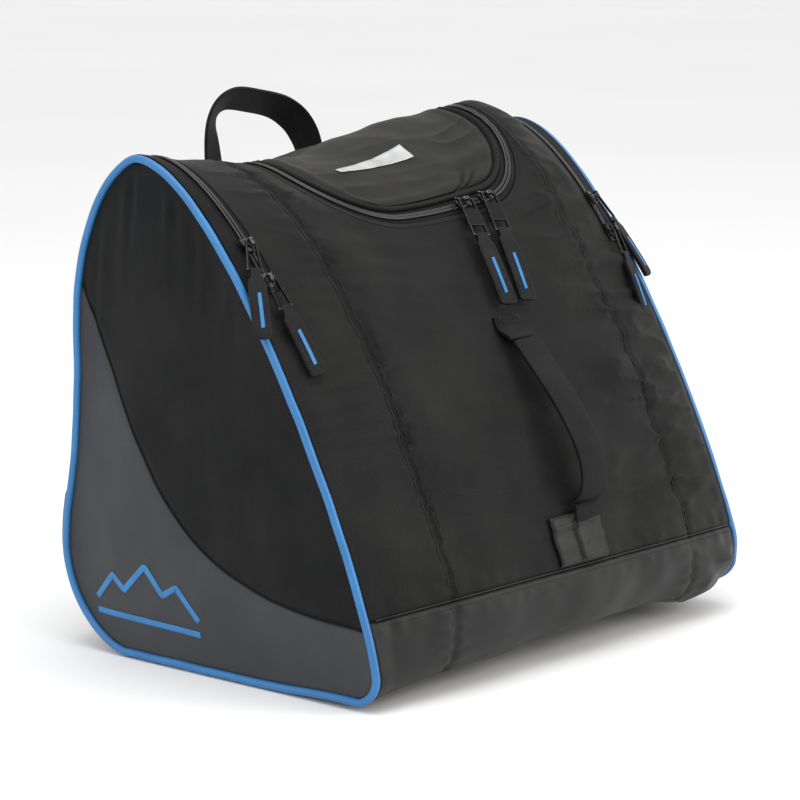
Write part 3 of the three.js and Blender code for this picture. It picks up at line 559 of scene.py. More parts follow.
def black_polyester():
    finish = new_finish(
        "black polyester", (0.02, 0.02, 0.02), 0.62, sheen_weight=0.035, sheen_roughness=0.4,
        sheen_tint=(0.8, 0.76, 0.62, 1), specular_ior_level=0.13,
    )
    mix = blotches(finish, (0.0045, 0.0049, 0.0058), (0.0082, 0.0082, 0.0078), 9, 0.38, 0.64)
    speckle(finish, mix, 0.22, 900)
    plain_weave(finish, 0.0011, 0.5, 0.0003)
    uneven_gloss(finish, 0.52, 0.68, 22)
    return finish


def lid_polyester_painted_light():
    # The same black cloth as the shell, painted lighter and warmer on the lid for the light falling on its
    # top: painted light.
    finish = new_finish(
        "lid polyester", (0.03, 0.03, 0.028), 0.6, sheen_weight=0.06, sheen_roughness=0.38,
        sheen_tint=(0.82, 0.78, 0.64, 1), specular_ior_level=0.16,
    )
    mix = blotches(finish, (0.0095, 0.0096, 0.0092), (0.0165, 0.0163, 0.0146), 10, 0.36, 0.66)
    speckle(finish, mix, 0.2, 900)
    plain_weave(finish, 0.0011, 0.5, 0.0003)
    uneven_gloss(finish, 0.5, 0.66, 20)
    return finish


def grey_coated():
    finish = new_finish(
        "grey coated cloth", (0.06, 0.062, 0.068), 0.5, sheen_weight=0.03, sheen_roughness=0.35,
        sheen_tint=(0.8, 0.82, 0.88, 1), specular_ior_level=0.3,
    )
    mix = blotches(finish, (0.025, 0.026, 0.0295), (0.035, 0.036, 0.0395), 8, 0.36, 0.66)
    speckle(finish, mix, 0.14, 1200)
    plain_weave(finish, 0.0009, 0.35, 0.0002)
    uneven_gloss(finish, 0.42, 0.58, 25)
    return finish


def band_satin():
    finish = new_finish(
        "band satin", (0.03, 0.03, 0.03), 0.42, sheen_weight=0.03, sheen_roughness=0.35,
        sheen_tint=(0.8, 0.78, 0.72, 1), specular_ior_level=0.2,
    )
    mix = blotches(finish, (0.0105, 0.0107, 0.011), (0.0165, 0.0163, 0.0158), 16, 0.36, 0.66)
    speckle(finish, mix, 0.16, 1200)
    plain_weave(finish, 0.0009, 0.3, 0.0002)
    uneven_gloss(finish, 0.36, 0.5, 30)
    return finish


def lining():
    finish = new_finish("lining", (0.02, 0.02, 0.021), 0.75, specular_ior_level=0.3)
    mix = blotches(finish, (0.014, 0.014, 0.015), (0.024, 0.024, 0.025), 12, 0.4, 0.6)
    speckle(finish, mix, 0.2, 900)
    plain_weave(finish, 0.0012, 0.35, 0.0002, on_object=True)
    return finish


def air_mesh():
    """Padded spacer mesh: open round cells in a matt black knit, their hollows painted darker as shade."""
    finish = new_finish("air mesh", (0.012, 0.012, 0.013), 0.85, sheen_weight=0.03)
    place = add_node(finish, "ShaderNodeTexCoord")
    cells = add_node(finish, "ShaderNodeTexVoronoi", {"Scale": 330.0, "Randomness": 0.15})
    edge = add_node(finish, "ShaderNodeMapRange", {"From Min": 0.15, "From Max": 0.55})
    mix = add_node(finish, "ShaderNodeMix", data_type="RGBA")
    # Dark colour for the cell hollows: painted shade in the holes, over the knit's own black.
    mix.inputs["A"].default_value = (0.004, 0.004, 0.0045, 1)
    mix.inputs["B"].default_value = (0.022, 0.022, 0.023, 1)
    bump = add_node(finish, "ShaderNodeBump", {"Strength": 0.8, "Distance": 0.0008})
    wire(finish, place.outputs["Object"], cells.inputs["Vector"])
    wire(finish, cells.outputs["Distance"], edge.inputs["Value"])
    wire(finish, edge.outputs["Result"], mix.inputs["Factor"])
    wire(finish, mix.outputs["Result"], surface_of(finish).inputs["Base Color"])
    wire(finish, edge.outputs["Result"], bump.inputs["Height"])
    wire(finish, bump.outputs["Normal"], surface_of(finish).inputs["Normal"])
    return finish


def blue_cord():
    finish = new_finish(
        "blue piping", (0.03, 0.25, 0.56), 0.42, specular_ior_level=0.5, coat_weight=0.12,
        coat_roughness=0.35,
    )
    mix = blotches(finish, (0.012, 0.13, 0.34), (0.017, 0.165, 0.40), 30, 0.35, 0.65)
    speckle(finish, mix, 0.08, 1500)
    plain_weave(finish, 0.0009, 0.25, 0.0002, on_object=True)
    return finish


def blue_print():
    finish = new_finish("blue print", (0.03, 0.27, 0.6), 0.4, specular_ior_level=0.5)
    mix = blotches(finish, (0.012, 0.14, 0.36), (0.017, 0.175, 0.42), 60, 0.35, 0.65)
    speckle(finish, mix, 0.1, 1500)
    return finish


def zip_tape():
    finish = new_finish("zip tape", (0.009, 0.009, 0.01), 0.6, specular_ior_level=0.12)
    mix = blotches(finish, (0.004, 0.004, 0.0045), (0.007, 0.007, 0.0075), 40, 0.4, 0.6)
    speckle(finish, mix, 0.2, 1200)
    plain_weave(finish, 0.0008, 0.6, 0.0003)
    return finish


def zip_coil():
    """Glossy nylon monofilament."""
    finish = new_finish(
        "zip coil", (0.011, 0.011, 0.012), 0.26, specular_ior_level=0.4, coat_weight=0.1,
        coat_roughness=0.15,
    )
    mix = blotches(finish, (0.004, 0.004, 0.0045), (0.008, 0.008, 0.0085), 200, 0.4, 0.6)
    speckle(finish, mix, 0.15, 2500)
    return finish


def worn_enamel():
    """Black enamelled zinc, rubbed through to bright metal along its edges."""
    finish = new_finish("worn enamel", (0.02, 0.02, 0.021), 0.3, 0.85, specular_ior_level=0.6)
    shape = add_node(finish, "ShaderNodeNewGeometry")
    edge = add_node(finish, "ShaderNodeMapRange", {"From Min": 0.53, "From Max": 0.64})
    place = add_node(finish, "ShaderNodeTexCoord")
    chips = add_node(finish, "ShaderNodeTexNoise", {"Scale": 700.0, "Detail": 3.0})
    keep = add_node(finish, "ShaderNodeMapRange", {"From Min": 0.36, "From Max": 0.6})
    worn = add_node(finish, "ShaderNodeMath", operation="MULTIPLY")
    mix = add_node(finish, "ShaderNodeMix", data_type="RGBA")
    mix.inputs["A"].default_value = (0.012, 0.012, 0.013, 1)
    mix.inputs["B"].default_value = (0.26, 0.26, 0.27, 1)
    wire(finish, shape.outputs["Pointiness"], edge.inputs["Value"])
    wire(finish, place.outputs["Object"], chips.inputs["Vector"])
    wire(finish, chips.outputs["Fac"], keep.inputs["Value"])
    wire(finish, edge.outputs["Result"], worn.inputs[0])
    wire(finish, keep.outputs["Result"], worn.inputs[1])
    wire(finish, worn.outputs["Value"], mix.inputs["Factor"])
    wire(finish, mix.outputs["Result"], surface_of(finish).inputs["Base Color"])
    uneven_gloss(finish, 0.2, 0.38, 400)
    return finish


def black_webbing():
    """Ribbed nylon webbing: wide ribs across it and fine picks along it."""
    finish = new_finish(
        "black webbing", (0.011, 0.011, 0.012), 0.58, sheen_weight=0.02, sheen_roughness=0.4,
        specular_ior_level=0.12,
    )
    mix = blotches(finish, (0.005, 0.005, 0.0055), (0.0085, 0.0085, 0.009), 45, 0.38, 0.62)
    speckle(finish, mix, 0.2, 1400)
    plain_weave(finish, 0.0019, 0.75, 0.0005, warp=0.55)
    return finish


def tab_webbing():
    finish = new_finish("tab webbing", (0.01, 0.01, 0.011), 0.55, sheen_weight=0.01, specular_ior_level=0.14)
    mix = blotches(finish, (0.005, 0.005, 0.0055), (0.0085, 0.0085, 0.009), 60, 0.38, 0.62)
    speckle(finish, mix, 0.2, 1400)
    plain_weave(finish, 0.0014, 0.6, 0.0004, warp=0.7, on_object=True)
    return finish


def black_thread():
    finish = new_finish("black thread", (0.03, 0.03, 0.031), 0.5, sheen_weight=0.02, specular_ior_level=0.2)
    mix = blotches(finish, (0.0075, 0.0075, 0.008), (0.013, 0.013, 0.013), 120, 0.4, 0.6)
    speckle(finish, mix, 0.2, 2500)
    return finish


def silver_reflector():
    """Reflective tape: grey glass-bead film with a fine diamond press."""
    finish = new_finish("silver reflector", (0.6, 0.61, 0.6), 0.34, 0.35, specular_ior_level=0.6)
    mix = blotches(finish, (0.36, 0.37, 0.37), (0.5, 0.51, 0.51), 70, 0.35, 0.65)
    speckle(finish, mix, 0.06, 1800)
    plain_weave(finish, 0.0016, 0.35, 0.0002)
    uneven_gloss(finish, 0.26, 0.42, 90)
    return finish


def board_plastic():
    finish = new_finish("board plastic", (0.02, 0.02, 0.022), 0.5)
    mix = blotches(finish, (0.016, 0.016, 0.018), (0.024, 0.024, 0.026), 14, 0.4, 0.6)
    speckle(finish, mix, 0.12, 1400)
    return finish


def moulded_nylon():
    finish = new_finish("moulded nylon", (0.014, 0.014, 0.015), 0.42, specular_ior_level=0.5)
    mix = blotches(finish, (0.011, 0.011, 0.012), (0.018, 0.018, 0.019), 50, 0.4, 0.6)
    speckle(finish, mix, 0.1, 2600)
    uneven_gloss(finish, 0.36, 0.5, 300)
    return finish


CLOTH = black_polyester()
LID_CLOTH_PAINTED_LIGHT = lid_polyester_painted_light()
GREY = grey_coated()
BAND = band_satin()
LINING = lining()
MESH = air_mesh()
BLUE = blue_cord()
PRINT = blue_print()
TAPE = zip_tape()
COIL = zip_coil()
METAL = worn_enamel()
WEBBING = black_webbing()
TAB = tab_webbing()
THREAD = black_thread()
SILVER = silver_reflector()
BOARD = board_plastic()
NYLON = moulded_nylon()


# ---------------------------------------------------------------- shell cloth


def lid_path(part, outside):
    """A place (run, x) on a line round the lid, some way outside its zip, from its left hinge
    corner to its right one."""
    corner_run = LID_FRONT_RUN + LID_CORNER
    corner_x = LID_HALF_WIDTH - LID_CORNER
    arm, arc = LID_HINGE_RUN - corner_run, math.pi / 2 * LID_CORNER
    radius = LID_CORNER + outside
    rest = part * 2 * (arm + arc + corner_x)
    if rest <= arm:
        return lerp(LID_HINGE_RUN, corner_run, rest / arm), LID_SHIFT - LID_HALF_WIDTH - outside
    rest -= arm
    if rest <= arc:
        turn = rest / arc * math.pi / 2
        x = -corner_x - radius * math.cos(turn)
        return corner_run - radius * math.sin(turn), LID_SHIFT + x
    rest -= arc
    if rest <= 2 * corner_x:
        return LID_FRONT_RUN - outside, LID_SHIFT + lerp(-corner_x, corner_x, rest / 2 / corner_x)
    rest -= 2 * corner_x
    if rest <= arc:
        turn = rest / arc * math.pi / 2
        x = corner_x + radius * math.sin(turn)
        return corner_run - radius * math.cos(turn), LID_SHIFT + x
    part = min((rest - arc) / arm, 1)
    return lerp(corner_run, LID_HINGE_RUN, part), LID_SHIFT + LID_HALF_WIDTH + outside


def front_cloth():
    side, low = GUSSET_SEAM - SEAM_GAP / 2, BAND_RUN + SEAM_GAP / 2
    arms = 0.5

    def place(u, v):
        inner_run, inner_x = lid_path(u, LID_ZIP_OUTER + SEAM_GAP)
        turn = 2 * u - 1
        if abs(turn) > arms:
            run, x = lerp(low, LID_HINGE_RUN, (abs(turn) - arms) / (1 - arms)), math.copysign(side, turn)
        else:
            run, x = low, turn / arms * side
        run, x = lerp(run, min(inner_run, LID_HINGE_RUN), v), lerp(x, inner_x, v)
        return soft(run, x), (x, run)

    seat(sheet("front cloth", 240, 84, place, CLOTH), "shell", "black_cloth", "front_panel")


def stepped(v, rows, low, middle, high):
    """Rows evenly spread either side of a step, with one narrow row across it."""
    index, half = round(v * rows), rows // 2
    if index <= half:
        return lerp(low, middle - SEAM_GAP, index / half), True
    return lerp(middle, high, (index - half - 1) / (rows - half - 1)), False


def gusset_cloth(side, word):
    rows = 190

    def place(u, v):
        run, below = stepped(
            v, rows, BAND_RUN + SEAM_GAP / 2, BOOT_ZIP_FRONT_RUN, BACK_SEAM_RUN - SEAM_GAP / 2,
        )
        far = CLOTH_END if below else TAPE_INNER - SEAM_GAP
        x = side * lerp(GUSSET_SEAM + SEAM_GAP / 2, far, u if side > 0 else 1 - u)
        return soft(run, x), (x, run)

    piece = sheet(f"{word} gusset cloth", 34, rows, place, CLOTH)
    seat(piece, "shell", "black_cloth", f"{word}_gusset")


def band_cloth():
    def place(u, v):
        run, x = lerp(0, BAND_RUN - SEAM_GAP / 2, v), lerp(-CLOTH_END, CLOTH_END, u)
        return soft(run, x), (x, run)

    seat(sheet("front band cloth", 200, 40, place, BAND), "shell", "band_cloth", "front_band")


def base_cloth():
    front, back = TRACE[0].x + SEAM_GAP, TRACE[-1].x - SEAM_GAP

    def place(u, v):
        spot = Vector((lerp(-CLOTH_END, CLOTH_END, u), lerp(front, back, v), 0))
        return settle(spot), (spot.x, spot.y)

    piece = sheet("base cloth", 80, 50, place, BAND, flip=True)
    seat(piece, "shell", "band_cloth", "base_panel")


def base_board():
    """The stiffener lying loose on the base, which springs up with the belly."""
    low, high = (Vector(corner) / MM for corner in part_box("base_board"))

    def place(u, v):
        spot = Vector((lerp(low.x, high.x, u), lerp(low.y, high.y, v), high.z))
        return settle(spot) + Vector((0, 0, 1)), (spot.x, spot.y)

    piece = sheet("base board", 60, 40, place, BOARD, high.z - low.z)
    seat(piece, "shell", "board", "base_board")


def yoke_cloth():
    half = GUSSET_SEAM - SEAM_GAP / 2

    def place(u, v):
        run = lerp(LID_HINGE_RUN + SEAM_GAP / 2, BACK_SEAM_RUN - SEAM_GAP / 2, v)
        x = lerp(-half, half, u)
        return soft(run, x), (x, run)

    seat(sheet("back yoke cloth", 110, 20, place, CLOTH), "shell", "black_cloth", "back_yoke")


def seam_cord(name, line, count, thick, finish, slot, body="shell"):
    """A thin raised cord lying along a line."""
    piece = new_piece(name, tube_mesh(line, count, 8, thick), finish)
    return seat(piece, body, slot)


def on_line(place, ahead=0.004):
    """Turns a rule from a part to a point into one that also gives its side and up directions."""
    def line(part):
        spot, up = place(part)
        nearer, _ = place(max(part - ahead, 0))
        further, _ = place(min(part + ahead, 1))
        along = (further - nearer).normalized()
        side = along.cross(up).normalized()
        return spot, side, side.cross(along).normalized()
    return line


def out_at(run, x):
    """The direction straight out of the stuffed cloth."""
    step = 2.5
    up = on_shell(run + step, x) - on_shell(run - step, x)
    across = on_shell(run, x + step) - on_shell(run, x - step)
    return across.cross(up).normalized()


def cloth_line(path, proud=0.0):
    """A line over the stuffed cloth through a path of (run, x)."""
    def place(part):
        run, x = path(part)
        up = out_at(run, x)
        return soft(run, x) + up * proud, up
    return on_line(place)


def shell_seams():
    """Rows of stitching and the fine raised edges along the seams of the shell."""
    band = cloth_line(lambda part: (BAND_RUN + 0.6, lerp(-END_INNER + 4, END_INNER - 4, part)), 0.3)
    seam_cord("band seam edge", band, 300, 0.75, THREAD, "black_cloth")
    topstitch = cloth_line(lambda part: (BAND_RUN - 4.5, lerp(-205, 205, part)), 0.15)
    seat(stitches("band topstitching", topstitch, 130, 2.0, THREAD), "shell", "black_cloth")
    for side, word in ((-1, "left"), (1, "right")):
        gusset = cloth_line(
            lambda part: (lerp(BAND_RUN + 2, BACK_SEAM_RUN - 4, part), side * (GUSSET_SEAM + 0.2)), 0.2,
        )
        seam_cord(f"{word} gusset seam edge", gusset, 360, 0.7, THREAD, "black_cloth")
        beside = cloth_line(
            lambda part: (lerp(BAND_RUN + 4, LID_HINGE_RUN, part), side * (GUSSET_SEAM - 4.2)), 0.15,
        )
        seat(stitches(f"{word} gusset topstitching", beside, 140, 2.0, THREAD), "shell", "black_cloth")


# ---------------------------------------------------------------- lid


def lid_lift(u, v):
    """How far the lid's padded dome stands above the shell, with its creases."""
    wave = math.sin(math.pi * lerp(LID_CROWN["front"], LID_CROWN["back"], v))
    dome = LID_CROWN["rise"] * (1 - (2 * u - 1) ** 2) * wave
    x, y = u * 203, v * 210
    ripple = 1.5 * wander(x / 42, y / 34, 4.4) + 0.5 * wander(x / 14, y / 14, 2.9)
    crease = -1.5 * bell(y - 26 - 6 * wander(x / 50, 0.2, 3.3), 5) * smoothstep(x, 110, 150)
    puckers = sum(
        -3.0 * bell(x - at - (y - 4) * 0.3, 3.2) * (1 - smoothstep(y, 12, reach))
        for at, reach in ((150, 30), (166, 24))
    )
    edge = min(u, 1 - u) * 203
    free = smoothstep(min(edge, y), 0, 14)
    rolled = 1.6 * bell(min(edge, y) - 7, 5)
    return dome + (ripple + crease) * free + puckers + rolled * smoothstep(min(edge, y), 0, 5)


def lid_cloth():
    gap = LID_GAP + 0.3
    half, corner = LID_HALF_WIDTH - gap, LID_CORNER - gap
    front, back = LID_FRONT_RUN + gap, LID_HINGE_RUN - SEAM_GAP * 1.5

    def place(u, v):
        run = lerp(front, back, v)
        into = max(corner - (run - front), 0)
        reach = half - corner + math.sqrt(max(corner ** 2 - into ** 2, 0))
        x = LID_SHIFT + (2 * u - 1) * reach
        return soft(run, x, -lid_lift(u, v)), (x, run)

    # The lid gets the lighter copy of the black cloth: painted light on the top.
    seat(sheet("lid cloth", 130, 110, place, LID_CLOTH_PAINTED_LIGHT, 1.6), "lid", "black_cloth", "lid_panel")


def lid_edge_place(part, outside, lift):
    run, x = lid_path(part, outside)
    run = min(run, LID_HINGE_RUN - SEAM_GAP * 1.5)
    return soft(run, x, -lift)


def lid_binding():
    """The rolled edge of the lid, a half-round ribbon with a row of stitching down its middle."""
    def place(u, v):
        turn = math.pi * v
        outside = -LID_GAP + (BINDING_WIDTH - SEAM_GAP) * (0.5 + 0.5 * math.cos(turn))
        pucker = 0.25 * math.sin(u * 640) * math.sin(turn)
        lift = -0.9 + (BINDING_PROUD + 1.2 + pucker) * math.sin(turn)
        return lid_edge_place(u, outside, lift), (u * 560, v * 9)

    piece = sheet("lid binding", 420, 10, place, CLOTH, 0.8)
    seat(piece, "lid", "black_cloth", "lid_binding")


def ribbon(name, body, slot, node, path, edges, under=0.4):
    """A zip tape between two distances from its line."""
    near, far = edges

    def place(u, v):
        aside = lerp(near, far, v)
        return path(u, aside, -under), (u * 600, aside)

    piece = sheet(name, 300, 4, place, TAPE, 0.7)
    return seat(piece, body, slot, *([node] if node else []))


def coil(name, body, path, aside, length, teeth_pitch=1.7):
    """One half of a coil zip: a row of small glossy beads."""
    beads = int(length / teeth_pitch)

    def place(part):
        spot = path(part, aside, COIL_PROUD * 0.45)
        return spot, (path(part, aside, 4) - spot).normalized()

    bm = tube_mesh(on_line(place, 0.006), beads * 4, 8, 1.25, 0.85, bead=0.2, beads=beads)
    return seat(new_piece(name, bm, COIL), body, "zip")


def lid_zip():
    length = 560
    ribbon("lid zip inner tape", "lid", "zip", "lid_zip_inner", lid_edge_place, (-0.4, -6.7))
    ribbon("lid zip outer tape", "shell", "zip", "lid_zip_outer", lid_edge_place, (6.7, 0.4))
    coil("lid zip inner coil", "lid", lid_edge_place, -1.35, length)
    coil("lid zip outer coil", "shell", lid_edge_place, 1.35, length)


def lid_lining():
    """The lid's inside, reaching under its rolled edge."""
    gap = LID_GAP - BINDING_WIDTH - 0.5
    half, corner = LID_HALF_WIDTH - gap, LID_CORNER - gap

    def place(u, v):
        run = lerp(LID_FRONT_RUN + gap, LID_HINGE_RUN - SEAM_GAP, v)
        into = max(corner - (run - LID_FRONT_RUN - gap), 0)
        reach = half - corner + math.sqrt(max(corner ** 2 - into ** 2, 0))
        x = LID_SHIFT + (2 * u - 1) * reach
        padding = 1.5 * smoothstep(min(v, 1 - v, u, 1 - u), 0, 0.1)
        return soft(run, x, 2.6 - padding), (x, run)

    seat(sheet("lid lining cloth", 90, 80, place, LINING, 0.8), "lid", "lining")


def lid_hinge_cloth():
    """The strip of cloth where the lid is sewn to the back yoke."""
    half, reach = LID_HALF_WIDTH - 2, 7

    def place(u, v):
        run = LID_HINGE_RUN + lerp(-reach, reach, v)
        return soft(run, LID_SHIFT + lerp(-half, half, u), 1.5), (u * 200, v * 14)

    piece = sheet("lid hinge cloth", 70, 16, place, CLOTH, 0.8)
    apply_modifiers(piece)
    shell_side = on_shell(LID_HINGE_RUN + reach * 0.6, LID_SHIFT) * MM
    lid_side = on_shell(LID_HINGE_RUN - reach * 0.6, LID_SHIFT) * MM
    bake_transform(piece)


def seam_tape(name, low, high, left, right):
    """A strip of lining bound over a seam on the inside."""
    def place(u, v):
        run, x = lerp(low, high, v), lerp(left, right, u)
        return soft(run, x, 2.4), (x, run)

    across, along = max(int((right - left) / 5), 3), max(int((high - low) / 5), 3)
    seat(sheet(name, across, along, place, LINING, 0.5), "shell", "lining")


def seam_tapes():
    reach, edge = 6, END_INNER
    seam_tape("band seam tape", BAND_RUN - reach, BAND_RUN + reach, -edge, edge)
    seam_tape("back seam tape", BACK_SEAM_RUN - reach, BACK_SEAM_RUN + reach, -TAPE_INNER, TAPE_INNER)
    for side, word in ((-1, "left"), (1, "right")):
        left, right = sorted((side * (GUSSET_SEAM - reach), side * (GUSSET_SEAM + reach)))
        seam_tape(f"{word} gusset seam tape", BAND_RUN, BACK_SEAM_RUN, left, right)
        left, right = sorted((side * (TAPE_INNER - 4), side * (END_INNER - 0.5)))
        for end, run in (("front", BOOT_ZIP_FRONT_RUN), ("back", BOOT_ZIP_BACK_RUN)):
            seam_tape(f"{word} boot zip {end} tape", run - reach, run + reach, left, right)
        left, right = sorted((side * (TAPE_INNER - 5), side * (TAPE_INNER + 3)))
        seam_tape(f"{word} boot zip seam tape", BOOT_ZIP_FRONT_RUN, BOOT_ZIP_BACK_RUN, left, right)


def lid_stitching():
    def path(part):
        run, x = lid_path(lerp(0.04, 0.96, part), LID_ZIP_OUTER + 4.5)
        return run, x

    seat(stitches("lid zip topstitching", cloth_line(path, 0.15), 170, 2.0, THREAD), "shell", "black_cloth")


# ---------------------------------------------------------------- end panels

RIM_INSET = 5.2
FACE_X = WIDTH / 2 - END_FACE_IN


def side_rows(z):
    """The front and back edges of the end cloth at a height."""
    inside = []
    for index in range(0, TRACE_STEPS + 1, 3):
        y, high, out_y, out_z = outline_at(trace_run(index))
        inside.append((y - out_y * RIM_INSET, high - out_z * RIM_INSET))
    front = back = None
    for (y, low), (next_y, high) in zip(inside, inside[1:]):
        if (low - z) * (high - z) <= 0 and low != high:
            at = lerp(y, next_y, (z - low) / (high - low))
            front = at if front is None or at < front else front
            back = at if back is None or at > back else back
    return front, back


SEAM_TRACE = interpolate_bezier(*(Vector((y, z)) for y, z in GREY_SEAM), 121)
SEAM_TOP, SEAM_LOW = GREY_SEAM[0][1], GREY_SEAM[-1][1]


def seam_place(z):
    """How far back the seam between the black and the grey cloth lies at a height."""
    for above, below in zip(SEAM_TRACE, SEAM_TRACE[1:]):
        if below.y <= z <= above.y:
            return lerp(below.x, above.x, (z - below.y) / (above.y - below.y))
    return SEAM_TRACE[0].x if z > SEAM_TOP else SEAM_TRACE[-1].x


def seam_away(y, z):
    """The distance from a place on an end to the seam between its cloths."""
    spot = Vector((y, z))
    near = min(range(0, len(SEAM_TRACE), 6), key=lambda i: (SEAM_TRACE[i] - spot).length_squared)
    start, end = SEAM_TRACE[max(near - 6, 0)], SEAM_TRACE[min(near + 6, len(SEAM_TRACE) - 1)]
    if (SEAM_TRACE[near] - spot).length > 20:
        return 20
    middle, along = SEAM_TRACE[near], (end - start).normalized()
    return abs((y - middle.x) * along.y - (z - middle.y) * along.x)


def end_bulge(side, y, z):
    """How far the end cloth stands out from its rim, with puckers under the top on the left."""
    near = 1e9
    for index in range(0, TRACE_STEPS + 1, 12):
        spot = TRACE[index]
        near = min(near, math.hypot(spot.x - y, spot.y - z))
    near = min(near, abs(z) + 5)
    full = END_BULGE * smoothstep(near, 4, 70)
    lump = 1.5 * wander(y / 60 + side * 9, z / 60, 2.6) + 0.5 * wander(y / 22, z / 24, side * 3.3)
    gather = math.sin(y / 3.4 + 5 * wander(y / 28, z / 160, side * 1.4))
    pucker = 1.3 * gather * smoothstep(z, 205, 300) * bell(near - 16, 26)
    if side > 0:
        pucker *= 0.4
    groove = -1.2 * bell(seam_away(y, z), 3.4)
    return full + (lump + pucker) * smoothstep(near, 5, 24) + groove


def end_point(side, y, z):
    spot = Vector((side * (FACE_X + end_bulge(side, y, z)), y, z))
    low = settle(Vector((side * FACE_X * 0.999, y, z)))
    return Vector((spot.x, low.y, low.z))


def end_rows(grey):
    """The heights of an end cloth's rows, which lie on the same places along their shared seam."""
    shared = sorted(spot.y for spot in SEAM_TRACE)
    if grey:
        low = RIM_INSET + 0.3
        return [lerp(low, SEAM_LOW, step / 20) for step in range(20)] + shared
    top = max(spot.y for spot in TRACE) - RIM_INSET - 0.4
    return shared + [lerp(SEAM_TOP, top, step / 40) for step in range(1, 41)]


def end_skin(side, word, grey):
    """One colour of an end panel: the grey cloth lies behind and below the seam, the black above."""
    heights = end_rows(grey)
    rows = len(heights) - 1

    def place(u, v):
        z = heights[round(v * rows)]
        front, back = side_rows(z)
        if grey and z > SEAM_LOW:
            front = min(max(front, seam_place(z) + 0.3), back - 0.1)
        if not grey and z < SEAM_TOP:
            back = max(min(back, seam_place(z) - 0.3), front + 0.1)
        y = lerp(front, back, u if side > 0 else 1 - u)
        return end_point(side, y, z), (y, z)

    finish, slot = (GREY, "grey_cloth") if grey else (CLOTH, "black_cloth")
    colour = "grey" if grey else "black"
    return sheet(f"{word} end {colour} cloth", 84, rows, place, finish), slot, colour


def end_body_blend(piece, word):
    """Applies the piece's modifiers and bakes its place into its mesh; the fold line's ends are worked out
    but not used.
    """
    apply_modifiers(piece)
    front_y, front_z, _, _ = outline_at(BOOT_ZIP_FRONT_RUN)
    back_y, back_z, _, _ = outline_at(BOOT_ZIP_BACK_RUN)
    side = 1 if word == "right" else -1
    fold = Vector((0, back_y - front_y, back_z - front_z)).normalized()
    up = Vector((side, 0, 0)).cross(fold)
    if up.z < 0:
        up = -up
    middle = Vector((side * FACE_X, (front_y + back_y) / 2, (front_z + back_z) / 2))
    start, end = (middle - up * 5) * MM, (middle + up * 5) * MM
    tuple(start)
    tuple(end)
    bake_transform(piece)


def end_panels(side, word):
    for grey in (False, True):
        piece, slot, colour = end_skin(side, word, grey)
        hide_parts(f"{word}_end_{colour}_lower", f"{word}_end_{colour}_upper")
        end_body_blend(piece, word)


def seam_on_end(side, word):
    """The raised seam between the end's two cloths."""
    inside = []
    for spot in SEAM_TRACE:
        front, back = side_rows(spot.y)
        if front < spot.x < back:
            inside.append(spot)

    def place(part):
        at = part * (len(inside) - 1)
        index = min(int(at), len(inside) - 2)
        spot = inside[index].lerp(inside[index + 1], at - index)
        return end_point(side, spot.x, spot.y) + Vector((side * 0.3, 0, 0)), Vector((side, 0, 0))

    piece = new_piece(f"{word} end seam", tube_mesh(on_line(place, 0.008), 200, 8, 0.8), CLOTH)
    end_body_blend(piece, word)


def piping(side, word):
    """The covered cord round the whole end, one closed loop."""
    foot = TRACE[0].x, TRACE[-1].x
    radius, inset = PIPING_DIAMETER / 2, PIPING_DIAMETER / 2 - PIPING_PROUD
    around = OUTLINE_LENGTH + foot[1] - foot[0]

    def place(part):
        run = part * around
        if run <= OUTLINE_LENGTH:
            y, z, out_y, out_z = outline_at(run)
            spot = Vector((side * (WIDTH / 2 - radius), y - out_y * inset, z - out_z * inset))
            up = Vector((0, out_y, out_z))
        else:
            y = foot[1] - (run - OUTLINE_LENGTH)
            spot, up = Vector((side * (WIDTH / 2 - radius), y, inset)), Vector((0, 0, -1))
        spot.z = max(spot.z, radius + 0.3)
        waver = 0.7 * wander(spot.y / 26, spot.z / 26, side * 4.2)
        return settle(spot + Vector((0, up.y * waver, abs(up.z) * waver * 0.5))), up

    line = on_line(place)
    piece = new_piece(f"{word} piping cord", tube_mesh(line, 560, 14, radius * 0.84, closed=True), BLUE)
    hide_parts(f"{word}_piping_lower", f"{word}_piping_upper")
    end_body_blend(piece, word)


# ---------------------------------------------------------------- boot pocket zips


def boot_zip_path(side):
    low, high = BOOT_ZIP_FRONT_RUN, BOOT_ZIP_BACK_RUN

    def path(part, aside, lift):
        return soft(lerp(low, high, part), side * (BOOT_ZIP_LINE + aside), -lift)
    return path


def boot_zip(side, word):
    path = boot_zip_path(side)
    length = BOOT_ZIP_BACK_RUN - BOOT_ZIP_FRONT_RUN
    flap = f"{word}_flap"
    near, far = (-0.4, -7.2) if side < 0 else (-7.2, -0.4)

    def tape(u, v):
        aside = lerp(near, far, v)
        return path(u, aside, -0.4), (aside, u * length)

    def inner(u, v):
        return tape(v, u)

    piece = sheet(f"{word} boot zip inner tape", 4, 300, inner, TAPE, 0.7)
    seat(piece, "shell", "zip", f"{word}_zip_inner")
    cloth_edge = CLOTH_END - BOOT_ZIP_LINE
    outer_near, outer_far = (cloth_edge, 0.4) if side < 0 else (0.4, cloth_edge)

    def outer(u, v):
        aside = lerp(outer_near, outer_far, u)
        cloth = smoothstep(aside, 5.5, 8)
        return path(v, aside, -0.4 + 1.0 * cloth), (aside, v * length)

    piece = sheet(f"{word} boot zip outer tape", 12, 300, outer, TAPE, 0.7)
    seat(piece, flap, "zip", f"{word}_zip_outer")
    coil(f"{word} boot zip inner coil", "shell", path, -1.35, length)
    coil(f"{word} boot zip outer coil", flap, path, 1.35, length)


# ---------------------------------------------------------------- sliders, pulls and tabs


